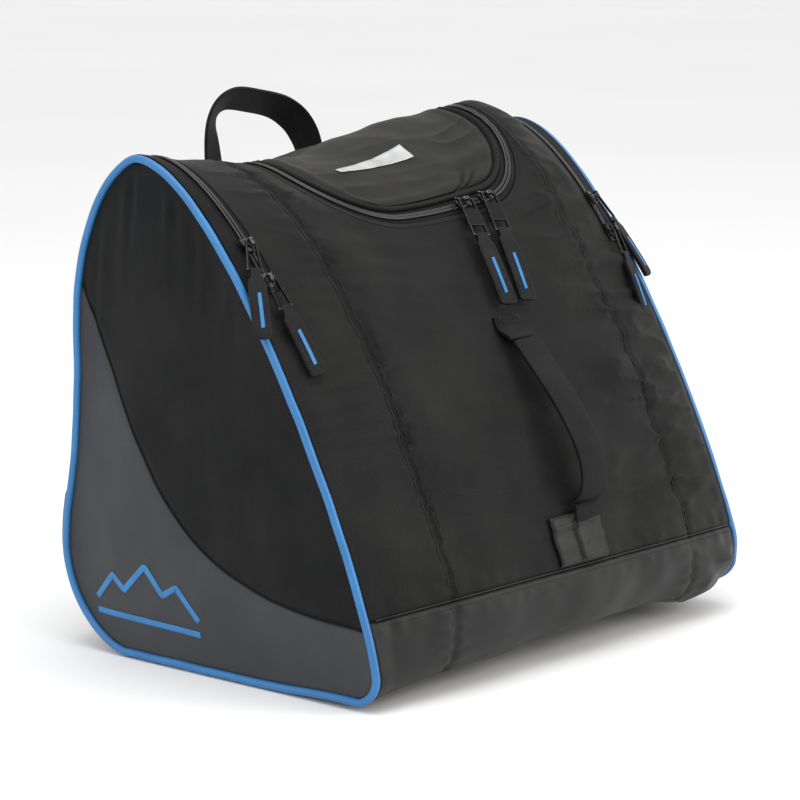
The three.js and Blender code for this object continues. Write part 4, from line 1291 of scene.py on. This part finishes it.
def puller_seats(run, x, sway, pull, tab, length):
    """The seats of a slider, its pull and its tab, in millimetres."""
    reach = 4
    spot = on_shell(run, x)
    up = (on_shell(run + reach, x) - on_shell(run - reach, x)).normalized()
    sidewise = on_shell(run, x + reach) - on_shell(run, x - reach)
    out = sidewise.cross(up).normalized()
    across = up.cross(out)
    seat_frame = Matrix((across, up, out)).transposed().to_4x4()
    seat_frame.translation = spot
    bar = COIL_PROUD + SLIDER["clear"] + SLIDER["thick"] + BRIDGE["high"] / 2
    pull_frame = seat_frame @ Matrix.Translation((0, 0, bar))
    pull_frame @= Matrix.Rotation(math.radians(sway), 4, "Z")
    pull_frame @= Matrix.Rotation(math.radians(-pull), 4, "X")
    tab_frame = pull_frame @ Matrix.Translation((0, -length + PULL_BAR / 2, 0))
    tab_frame @= Matrix.Rotation(math.radians(-tab), 4, "X")
    return seat_frame, pull_frame, tab_frame


def slider_mesh(sideways):
    """A zip slider: a body with flared shoulders, a slot down its sides and a bridge for the pull."""
    bm = bmesh.new()
    wide, long, thick = SLIDER["width"], SLIDER["length"], SLIDER["thick"]
    low = COIL_PROUD + SLIDER["clear"]
    block(bm, (wide, long * 0.6, thick * 0.5), (0, 0, low + thick * 0.7), bevel=0.9, segments=3)
    block(bm, (wide * 0.9, long * 0.5, thick * 0.45), (0, long * 0.2, low + thick * 0.3), bevel=0.7)
    block(bm, (wide * 0.55, long * 0.42, thick * 0.6), (0, -long * 0.28, low + thick * 0.6), bevel=0.8)
    for hand in (-1, 1):
        turn = Matrix.Rotation(math.radians(-14 * hand), 3, "Z")
        rail = (1.3, long * 0.85, thick * 0.85)
        block(bm, rail, (hand * wide * 0.43, 0, low + thick / 2), bevel=0.5, turn=turn)
    leg, span = BRIDGE["width"] * 0.9, BRIDGE["length"]
    top = low + thick + BRIDGE["high"]
    for hand in (-1, 1):
        foot_at = (0, hand * (span / 2 - 0.4), top - BRIDGE["high"] * 0.5)
        block(bm, (leg, 1.3, BRIDGE["high"] * 0.9), foot_at, bevel=0.4)
    block(bm, (leg, span, 1.2), (0, 0, top - 0.5), bevel=0.5)
    if sideways:
        bmesh.ops.rotate(bm, verts=bm.verts, matrix=Matrix.Rotation(math.pi / 2, 3, "Z"))
    return bm


def frame_plate(bm, size, thick):
    """A flat cast pull: a trapezoid with a window at its foot and one at its head."""
    length, top, foot, rail = size["length"], size["top"], size["foot"], size["rail"]
    half_top, half_foot = top / 2, foot / 2
    bar = PULL_BAR
    rows = [bar / 2, -bar / 2]
    plate = size["plate"]
    if plate:
        rows += [-plate[0], -(length - plate[1])]
    rows += [-(length - bar), -length]
    solid_rows = {0, len(rows) - 2}
    if plate:
        solid_rows.add(2)
    verts = []
    for y in rows:
        part = clamp(-y / length)
        half = lerp(half_top, half_foot, part)
        inner = half - rail
        verts.append([bm.verts.new((x, y, thick / 2)) for x in (-half, -inner, inner, half)])
    faces = []
    for row in range(len(rows) - 1):
        for column in range(3):
            if column == 1 and row not in solid_rows:
                continue
            ring = (
                verts[row][column], verts[row + 1][column],
                verts[row + 1][column + 1], verts[row][column + 1],
            )
            faces.append(bm.faces.new(ring))
    raised = bmesh.ops.extrude_face_region(bm, geom=faces)
    lower = [item for item in raised["geom"] if isinstance(item, bmesh.types.BMVert)]
    bmesh.ops.translate(bm, vec=Vector((0, 0, -thick)), verts=lower)
    bmesh.ops.recalc_face_normals(bm, faces=bm.faces)
    sharp = [edge for edge in bm.edges if len(edge.link_faces) == 2 and edge.calc_face_angle(0) > 0.6]
    bmesh.ops.bevel(
        bm, geom=sharp, offset=0.42, segments=2, profile=0.5, affect="EDGES", material=-1,
    )


def pull_piece(name, size, frame_matrix):
    bm = bmesh.new()
    frame_plate(bm, size, 1.9)
    return new_piece(name, place_mesh(bm, frame_matrix), METAL, smooth=False)


def tab_piece(name, size, pull, frame_matrix):
    """A folded webbing loop through the pull's foot: two layers, a narrow neck, a rounded end."""
    length, half = size["length"], size["width"] / 2
    neck = pull["foot"] / 2 - pull["rail"] - 0.5
    across, along = 18, 70

    def place(u, v):
        down = lerp(1.2, -length, v)
        widen = smoothstep(-down, TAB_NECK - 1.0, TAB_NECK + 5)
        tip = clamp((down + length) / 3.2)
        tip_round = half - 3.2 * (1 - math.sqrt(max(1 - (1 - tip) ** 2, 0)))
        reach = min(lerp(neck, half, widen), tip_round)
        x = (2 * u - 1) * reach
        bow = 0.7 * math.sin(math.pi * clamp(-down / length)) + 0.2 * wander(x / 9, down / 12, 6.1)
        dish = -0.35 * (2 * u - 1) ** 2
        return Vector((x, down, TAB_THICK * 0.42 + bow + dish)), (x, down)

    bm = sheet_mesh(across, along, place, flip=True)
    bmesh.ops.scale(bm, vec=Vector((1 / MM,) * 3), verts=bm.verts)
    place_mesh(bm, frame_matrix)
    piece = new_piece(name, bm, TAB)
    thicken(piece, TAB_THICK * 0.86)
    soften = piece.modifiers.new("soft edges", "BEVEL")
    soften.width, soften.segments, soften.limit_method = 0.5 * MM, 2, "ANGLE"
    return apply_modifiers(piece)


def tab_mark(name, size, frame_matrix, body):
    """A satin-stitched blue bar down the tab."""
    bm = bmesh.new()
    count, long = 36, size["length"] * 0.5
    for index in range(count):
        y = -size["length"] * 0.36 - long * index / count
        bow = 0.7 * math.sin(math.pi * clamp(-y / size["length"]))
        lean = Matrix.Rotation(math.radians(14), 3, "Z")
        block(bm, (2.9, long / count * 0.92, 0.5), (0, y, TAB_THICK * 0.42 + bow + 0.15), turn=lean)
    piece = new_piece(name, place_mesh(bm, frame_matrix), PRINT, smooth=False)
    return seat(piece, body, "piping")


def tab_edge_stitches(name, size, frame_matrix, body):
    bm = bmesh.new()
    half = size["width"] / 2 - 1.9
    count = int(size["length"] / 3.2)
    for hand in (-1, 1):
        for index in range(count):
            y = -10 - (size["length"] - 13) * (index + 0.5) / count
            bow = 0.7 * math.sin(math.pi * clamp(-y / size["length"])) - 0.25
            block(bm, (0.5, 1.7, 0.45), (hand * half, y, TAB_THICK * 0.42 + bow + 0.15))
    piece = new_piece(name, place_mesh(bm, frame_matrix), THREAD, smooth=False)
    return seat(piece, body, "webbing")


def puller(word, run, x, hang, side, pull, tab, sideways):
    seat_frame, pull_frame, tab_frame = puller_seats(
        run, x, side * hang["sway"], hang["pull"], hang["tab"], pull["length"],
    )
    tag = word.replace(" ", "_")
    slider_solid = place_mesh(slider_mesh(sideways), seat_frame)
    slider = new_piece(f"{word} slider", slider_solid, METAL, smooth=False)
    seat(slider, f"{tag}_slider", "gunmetal", f"{tag}_slider")
    seat(pull_piece(f"{word} pull", pull, pull_frame), f"{tag}_pull", "gunmetal", f"{tag}_pull")
    piece = tab_piece(f"{word} tab", tab, pull, tab_frame)
    seat(piece, f"{tag}_tab", "webbing", f"{tag}_tab")
    tab_mark(f"{word} tab mark", tab, tab_frame, f"{tag}_tab")
    tab_edge_stitches(f"{word} tab stitching", tab, tab_frame, f"{tag}_tab")


def pullers():
    for word, x in LID_SLIDER_PLACES.items():
        puller(f"lid {word}", LID_FRONT_RUN, x, LID_HANG, 1, LID_PULL, LID_TAB, True)
    for side, word in ((-1, "left"), (1, "right")):
        for level in ("lower", "upper"):
            run = BOOT_ZIP_FRONT_RUN + BOOT_SLIDER_PLACES[level]
            x = side * BOOT_ZIP_LINE
            puller(f"{word} {level}", run, x, BOOT_HANG[level], side, BOOT_PULL, BOOT_TAB, False)


# ---------------------------------------------------------------- handles


def webbing_strip(name, line, count, width, thick, body, finish=None, slot="webbing", nodes=(), length=200):
    """A webbing strip along a line, slightly dished, with soft edges."""
    def place(u, v):
        spot, side, up = line(v)
        aside = 2 * u - 1
        dish = 0.5 * aside ** 2 * width / 30
        return spot + side * (aside * width / 2) - up * dish, (aside * width / 2, v * length)

    bm = sheet_mesh(10, count, place)
    piece = new_piece(name, bm, finish or WEBBING)
    thicken(piece, thick, 0.0)
    soften = piece.modifiers.new("soft edges", "BEVEL")
    soften.width, soften.segments, soften.limit_method = 0.55 * MM, 2, "ANGLE"
    apply_modifiers(piece)
    return seat(piece, body, slot, *nodes)


def smooth_path(spots):
    """A smooth line through given points."""
    def at(part):
        place = clamp(part) * (len(spots) - 1)
        index = min(int(place), len(spots) - 2)
        t = place - index
        a, b, c, d = (spots[clamp(index + k, 0, len(spots) - 1)] for k in (-1, 0, 1, 2))
        return 0.5 * (
            2 * b + (c - a) * t + (2 * a - 5 * b + 4 * c - d) * t * t + (3 * b - a - 3 * c + d) * t ** 3
        )
    return at


def grab_handle():
    """A webbing loop on the back, its feet flat against the cloth and its top leaning over the lid."""
    y = SHOULDER_Y + BACK_PAD_PROUD + GRAB["clear"] + GRAB["thick"]
    half, top = GRAB["span"] / 2, HEIGHT + GRAB["rise"]
    foot_z = outline_at(BACK_SEAM_RUN + GRAB["foot_below"])[1]
    middle = smooth_path([
        Vector((-half + 8, y, foot_z)), Vector((-half + 5, y + 1, foot_z + 26)),
        Vector((-half - 1, y + 5, top - 40)), Vector((-half + 5, y + 10, top - 11)),
        Vector((-half + 24, y + 12, top + 1)), Vector((-4, y + 12, top - 2)),
        Vector((half - 30, y + 12, top - 10)), Vector((half - 10, y + 9, top - 27)),
        Vector((half - 3, y + 5, top - 54)), Vector((half - 6, y + 1, foot_z + 22)),
        Vector((half - 8, y, foot_z)),
    ])
    tilts = smooth_path([Vector((angle, 0, 0)) for angle in (0, 6, 18, 34, 42, 44, 42, 30, 14, 5, 0)])

    def line(part):
        spot = middle(part)
        along = (middle(min(part + 0.01, 1)) - middle(max(part - 0.01, 0))).normalized()
        tilt = math.radians(tilts(part).x)
        back = Vector((0, 1, 0))
        level = along.cross(back).normalized()
        side = (level * math.cos(tilt) - back * math.sin(tilt)).normalized()
        side = (side - along * side.dot(along)).normalized()
        return spot, side, side.cross(along).normalized()

    webbing_strip("grab handle", line, 150, GRAB["width"], GRAB["thick"], "grab_handle",
                  nodes=("grab_handle",), length=420)


def haul_handle():
    """The webbing loop on the front: sewn under a patch above the band, bowed up to its anchor."""
    low, high = HAUL["low"], HAUL["high"]

    def bowed(part):
        run = lerp(low, high, part)
        bow = HAUL["stand"] + HAUL["bow"] * math.sin(math.pi * math.sqrt(part))
        sway = HAUL["shift"] + 2.0 * math.sin(math.pi * part)
        return on_shell(run, sway, -bow), out_at(run, sway)

    webbing_strip("haul handle", on_line(bowed), 90, HAUL["width"], HAUL["thick"], "haul_handle",
                  nodes=("haul_handle",), length=150)

    def foot(part):
        run = lerp(BAND_RUN + 6, low - 2, part)
        rise = 2.6 + (HAUL["stand"] - 1.5) * smoothstep(part, 0.35, 1)
        return on_shell(run, HAUL["shift"], -rise), out_at(run, HAUL["shift"])

    webbing_strip("haul handle foot", on_line(foot, 0.03), 24, HAUL["width"], HAUL["thick"], "shell",
                  length=50)
    anchor_low, anchor_high = high + HAUL_ANCHOR["clear"], high + HAUL_ANCHOR["length"]

    def anchored(part):
        run = lerp(anchor_low - 2, anchor_high, part)
        rise = lerp(HAUL["stand"], 2.0, smoothstep(part, 0, 0.7))
        return soft(run, HAUL["shift"], -rise), out_at(run, HAUL["shift"])

    webbing_strip("haul anchor", on_line(anchored, 0.03), 24, HAUL["width"], HAUL["thick"], "shell",
                  nodes=("haul_anchor",), length=24)
    box_stitching(
        "haul anchor stitching", anchor_low + 6, anchor_high - 2, HAUL["shift"], HAUL["width"] - 6, 3.4,
    )


def box_stitching(name, low, high, middle, width, lift):
    """A sewn box with a cross through it."""
    corners = [(low, -1), (low, 1), (high, 1), (high, -1), (low, -1)]
    lines = list(zip(corners, corners[1:])) + [((low, -1), (high, 1)), ((low, 1), (high, -1))]
    pieces = bmesh.new()
    for (start_run, start_side), (end_run, end_side) in lines:
        def place(part, a=(start_run, start_side), b=(end_run, end_side)):
            run, x = lerp(a[0], b[0], part), middle + lerp(a[1], b[1], part) * width / 2
            return soft(run, x, -lift), out_at(run, x)
        long = math.hypot(end_run - start_run, (end_side - start_side) * width / 2)
        dashes = stitches("spare", on_line(place, 0.05), max(int(long / 3), 2), 1.9, THREAD, 0.5)
        pieces.from_mesh(dashes.data)
        bpy.data.objects.remove(dashes)
    return seat(new_piece(name, pieces, THREAD, smooth=False), "shell", "black_cloth")


def haul_patch():
    low = BAND_RUN + HAUL_PATCH["above_band"] - 2
    high = low + HAUL_PATCH["length"] + 2
    half = HAUL_PATCH["width"] / 2

    def place(u, v):
        run, aside = lerp(low, high, v), 2 * u - 1
        over = 2.4 * (1 - smoothstep(abs(aside * half - (HAUL["shift"] - HAUL_PATCH["shift"])), 13, 18))
        edge = smoothstep(min(u, 1 - u) * 2 * half, 0, 2.5) * smoothstep(min(v, 1 - v) * (high - low), 0, 2.5)
        lift = 1.2 + (1.2 + over) * edge + 0.4 * wander(u * 5, v * 4, 8.8)
        x = HAUL_PATCH["shift"] + aside * half
        return soft(run, x, -lift - 1.2), (x, run)

    piece = sheet("haul patch", 60, 40, place, BAND, 1.4)
    seat(piece, "shell", "black_cloth", "haul_patch")
    box_stitching("haul patch stitching", low + 4, high - 4, HAUL_PATCH["shift"] + 9, 26, 5.6)


# ---------------------------------------------------------------- padded back and shoulder straps


def stuff(piece, pressure, frames):
    """Presses the piece's cover outwards as wadding does, held along its seams."""
    scene = bpy.context.scene
    cloth = piece.modifiers.new("stuffing", "CLOTH")
    settings = cloth.settings
    settings.quality = 5
    settings.use_pressure = True
    settings.uniform_pressure_force = pressure
    settings.effector_weights.gravity = 0
    settings.tension_stiffness = settings.compression_stiffness = 40
    settings.shear_stiffness = 15
    settings.bending_stiffness = 1.5
    settings.vertex_group_mass = "held"
    cloth.point_cache.frame_start = 1
    cloth.point_cache.frame_end = frames
    for moment in range(1, frames + 1):
        scene.frame_set(moment)
    apply_modifiers(piece)
    scene.frame_set(1)
    return piece


def quilted(name, across, along, place, thick, sewn, body, slot, node, pressure):
    """A padded panel: a thick slab, held where it's sewn and pressed out between."""
    piece = new_piece(name, sheet_mesh(across, along, place), MESH)
    thicken(piece, thick)
    apply_modifiers(piece)
    held = piece.vertex_groups.new(name="held")
    count = (across + 1) * (along + 1)
    tops = [vert.index for vert in piece.data.vertices if vert.index < count and sewn(vert.index)]
    rest = [vert.index for vert in piece.data.vertices if vert.index >= count]
    held.add(tops + rest, 1.0, "REPLACE")
    stuff(piece, pressure, 14)
    finer = piece.modifiers.new("finer", "SUBSURF")
    finer.levels = finer.render_levels = 1
    seat(piece, body, slot, node)
    return piece


def back_pad():
    """The padded back, quilted in upright channels each side of a spine."""
    across, along = 84, 76
    low, high = BACK_SEAM_RUN + SEAM_GAP / 2, OUTLINE_LENGTH
    channels = (-150, -96, -34, 34, 96, 150)

    def reach_at(run):
        return TAPE_INNER - SEAM_GAP if run <= BOOT_ZIP_BACK_RUN else CLOTH_END

    def channel_dip(x, run):
        from_top = smoothstep(run, low + 8, low + 40)
        from_foot = 1 - smoothstep(run, high - 90, high - 50)
        dip = max(bell(x - at, 4.5) for at in channels)
        ladder = bell((run - low) % 62 - 31, 4.0) * (1 - smoothstep(abs(x), 28, 36))
        return max(dip, ladder) * from_top * from_foot, from_top * from_foot

    def place(u, v):
        run = lerp(low, high, v)
        x = (2 * u - 1) * reach_at(run)
        dip, full = channel_dip(x, run)
        lift = full * (BACK_PAD_PROUD + 3.5) - dip * 5
        return soft(run, x, -lift), (x, run)

    def sewn(index):
        column, row = index % (across + 1), index // (across + 1)
        u, v = column / across, row / along
        run = lerp(low, high, v)
        x = (2 * u - 1) * reach_at(run)
        edge = min(column, across - column, row, along - row) < 2
        return edge or channel_dip(x, run)[0] > 0.5

    quilted("back pad", across, along, place, 7, sewn, "shell", "padded_mesh", "back_panel", 2.0)


def strap_line(side):
    top, low = back_run(STRAP["pad_top"]), back_run(STRAP["low_end"])

    def at(run):
        part = clamp((run - top) / (low - top))
        straight = lerp(STRAP["top_x"], STRAP["low_x"], part)
        x = side * (straight + STRAP["bend_out"] * math.sin(math.pi * part))
        lift = BACK_PAD_PROUD + STRAP["stand"] + STRAP["bow"] * math.sin(math.pi * part)
        return x, lift
    return at, top, low


def strap_strip(at, start, end, lift_more=0.0):
    def place(part):
        run = lerp(start, end, part)
        x, lift = at(run)
        return on_shell(run, x, -lift - lift_more), out_at(run, x)
    return on_line(place, 0.02)


def shoulder_strap(side, word):
    at, top, low = strap_line(side)
    pad_low = back_run(STRAP["pad_low"])
    body = f"{word}_strap"
    line = strap_strip(at, top, pad_low, STRAP["pad_thick"])
    across, along = 22, 44
    half = STRAP["pad_width"] / 2

    def place(u, v):
        spot, sideways, up = line(v)
        taper = 1 - 0.30 * smoothstep(v, 0.7, 1) - 0.12 * smoothstep(1 - v, 0.8, 1)
        aside = 2 * u - 1
        dome = -2.2 * abs(aside) ** 3
        return spot + sideways * (aside * half * taper) + up * dome, (aside * half, v * 90)

    def sewn(index):
        column, row = index % (across + 1), index // (across + 1)
        return min(column, across - column, row, along - row) < 3 or abs(column - across / 2) < 1

    piece = quilted(f"{word} strap pad", across, along, place, STRAP["pad_thick"] - 2.5, sewn, body,
                    "padded_mesh", f"{word}_strap_pad", 2.0)
    edge = strap_strip(at, top, pad_low, STRAP["pad_thick"] - 1.5)
    for hand in (-1, 1):
        def rim(part, hand=hand):
            spot, sideways, up = edge(part)
            taper = 1 - 0.30 * smoothstep(part, 0.7, 1) - 0.12 * smoothstep(1 - part, 0.8, 1)
            return spot + sideways * (hand * half * taper) - up * 3.2, up
        bound_mesh = tube_mesh(on_line(rim, 0.02), 90, 8, 1.6, 2.6)
        bound = new_piece(f"{word} strap binding {hand}", bound_mesh, BAND)
        seat(bound, body, "webbing")
    ladder(word, at, pad_low, body)
    web_start = pad_low + ADJUSTER["clear"] * 2 + ADJUSTER["length"]
    webbing_strip(f"{word} strap webbing", strap_strip(at, web_start - 6, low, 1), 60, STRAP["web_width"],
                  STRAP["web_thick"], body, nodes=(f"{word}_strap_webbing",), length=110)
    return piece


def ladder(word, at, pad_low, body):
    """The moulded ladder adjuster at the end of the pad: a frame with two bars."""
    line = strap_strip(at, pad_low + ADJUSTER["clear"], pad_low + ADJUSTER["clear"] + ADJUSTER["length"])
    spot, sideways, up = line(0.5)
    along = up.cross(sideways).normalized()
    frame_matrix = Matrix((sideways, along, up)).transposed().to_4x4()
    frame_matrix.translation = spot + up * ADJUSTER["thick"] / 2
    bm = bmesh.new()
    wide, long, thick = ADJUSTER["width"], ADJUSTER["length"], ADJUSTER["thick"]
    for hand in (-1, 1):
        block(bm, (3.6, long, thick * 0.8), (hand * (wide / 2 - 1.8), 0, 0), bevel=1.0)
    for place in (-0.42, -0.05, 0.4):
        block(bm, (wide - 4, 3.2, thick * 0.6), (0, place * long, 0.3), bevel=0.9)
    block(bm, (wide * 0.7, 2.2, thick * 0.5), (0, -0.2 * long, 0.8), bevel=0.7)
    piece = new_piece(f"{word} ladder adjuster", place_mesh(bm, frame_matrix), NYLON, smooth=False)
    seat(piece, body, "buckle", f"{word}_strap_adjuster")


# ---------------------------------------------------------------- marks


def end_mark(side, word):
    """A plain blue ridge line over a bar, printed low on the end."""
    ridge = [(120, 42), (100, 62), (88, 52), (66, 73), (48, 54), (34, 62), (12, 40)]
    lines = [ridge, [(120, 32), (12, 30)]]
    for number, knots in enumerate(lines):
        spots = [Vector((y, z)) for y, z in knots]
        lengths = [(b - a).length for a, b in zip(spots, spots[1:])]

        def place(part, spots=spots, lengths=lengths):
            rest = part * sum(lengths)
            at = spots[-1]
            for start, end, length in zip(spots, spots[1:], lengths):
                if rest <= length:
                    at = start.lerp(end, rest / length)
                    break
                rest -= length
            point = end_point(side, at.x, at.y) + Vector((side * 0.25, 0, 0))
            return point, Vector((side, 0, 0))

        line = on_line(place)

        def strip(u, v, line=line):
            spot, sideways, _ = line(v)
            aside = (2 * u - 1) * 2.4
            point = end_point(side, spot.y + sideways.y * aside, spot.z + sideways.z * aside)
            return point + Vector((side * 0.45, 0, 0)), (aside, v * 120)

        flip = side > 0
        piece = sheet(f"{word} end mark {number + 1}", 4, 120, strip, PRINT, 0.35, flip=flip)
        seat(piece, "shell", "piping")


def lid_bar():
    """A reflective bar sewn across the front of the lid."""
    low_run, left, right = LID_FRONT_RUN + LID_GAP + 45, -52, 28
    top = LID_HINGE_RUN - LID_FRONT_RUN - LID_GAP

    def place(u, v):
        x = lerp(left, right, u)
        thick = 15 * (0.35 + 0.65 * u)
        run = low_run + (v - 0.5) * thick + 3 * u
        at_v = (run - LID_FRONT_RUN - LID_GAP) / top
        at_u = clamp((x - LID_SHIFT) / (2 * (LID_HALF_WIDTH - LID_GAP)) + 0.5)
        return soft(run, x, -lid_lift(at_u, at_v) - 0.9), (x, run)

    seat(sheet("lid reflective bar", 90, 8, place, SILVER, 0.5), "lid", "black_cloth")


# ---------------------------------------------------------------- inside


def divider(word):
    """The cloth wall between a boot pocket and the middle, drawn up with the belly."""
    bm = bmesh.new()
    bm.from_mesh(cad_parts[f"{word}_divider"].data)
    bmesh.ops.subdivide_edges(bm, edges=bm.edges, cuts=3, use_grid_fill=True)
    for vert in bm.verts:
        spot = vert.co / MM
        spot.y *= 0.97
        spot.z = lerp(spot.z, 180, 0.03)
        vert.co = settle(spot) * MM
    piece = new_piece(f"{word} divider cloth", bm, LINING, smooth=False)
    seat(piece, "shell", "lining", f"{word}_divider")


# ---------------------------------------------------------------- the whole bag

front_cloth()
band_cloth()
base_cloth()
base_board()
yoke_cloth()
shell_seams()
lid_cloth()
lid_binding()
lid_zip()
lid_stitching()
lid_lining()
lid_hinge_cloth()
seam_tapes()
lid_bar()
for SIDE, WORD in ((-1, "left"), (1, "right")):
    gusset_cloth(SIDE, WORD)
    end_panels(SIDE, WORD)
    seam_on_end(SIDE, WORD)
    piping(SIDE, WORD)
    boot_zip(SIDE, WORD)
    shoulder_strap(SIDE, WORD)
    end_mark(SIDE, WORD)
    divider(WORD)
pullers()
grab_handle()
haul_handle()
haul_patch()
back_pad()

# ---------------------------------------------------------------- floor, light and camera


def pale_floor():
    floor_mesh = bmesh.new()
    bmesh.ops.create_grid(floor_mesh, x_segments=1, y_segments=1, size=20)
    finish = new_finish("pale floor", (0.86, 0.86, 0.86), 0.8)
    mix = blotches(finish, (0.85, 0.85, 0.85), (0.87, 0.87, 0.87), 0.8, 0.4, 0.6)
    speckle(finish, mix, 0.01, 300)
    floor = new_piece("pale floor", floor_mesh, finish, smooth=False)


def pale_sky():
    world = bpy.data.worlds.new("pale room")
    world.use_nodes = True
    world.node_tree.nodes["Background"].inputs["Color"].default_value = (1, 1, 1, 1)
    world.node_tree.nodes["Background"].inputs["Strength"].default_value = 1.0
    bpy.context.scene.world = world


def soft_light(name, place, power, wide, high, colour=(1, 1, 1)):
    light = bpy.data.lights.new(name, "AREA")
    light.shape, light.size, light.size_y = "RECTANGLE", wide, high
    light.energy, light.color = power, colour
    lamp = bpy.data.objects.new(name, light)
    bpy.context.scene.collection.objects.link(lamp)
    lamp.location = place
    aim = Vector((0, 0, 0.18)) - Vector(place)
    lamp.rotation_euler = aim.to_track_quat("-Z", "Y").to_euler()


def set_camera():
    azimuth, elevation = math.radians(-48.97), math.radians(9.90)
    camera = bpy.data.cameras.new("camera")
    camera.lens, camera.sensor_width = 142.3, 36
    eye = bpy.data.objects.new("camera", camera)
    bpy.context.scene.collection.objects.link(eye)
    eye.location = (-1.7945, -1.5489, 0.5882)
    look = Vector((
        -math.sin(azimuth) * math.cos(elevation), math.cos(azimuth) * math.cos(elevation),
        -math.sin(elevation),
    ))
    eye.rotation_euler = look.to_track_quat("-Z", "Y").to_euler()
    bpy.context.scene.camera = eye


pale_floor()
pale_sky()
soft_light("overhead softbox", (-0.2, -0.3, 2.2), 26, 2.0, 1.6)
soft_light("right softbox", (1.2, -2.0, 1.1), 24, 1.2, 1.4, (1, 0.97, 0.92))
soft_light("left softbox", (-2.4, 0.4, 0.9), 9, 1.2, 1.2, (0.93, 0.96, 1))
set_camera()
bpy.context.scene.view_settings.view_transform = "Standard"
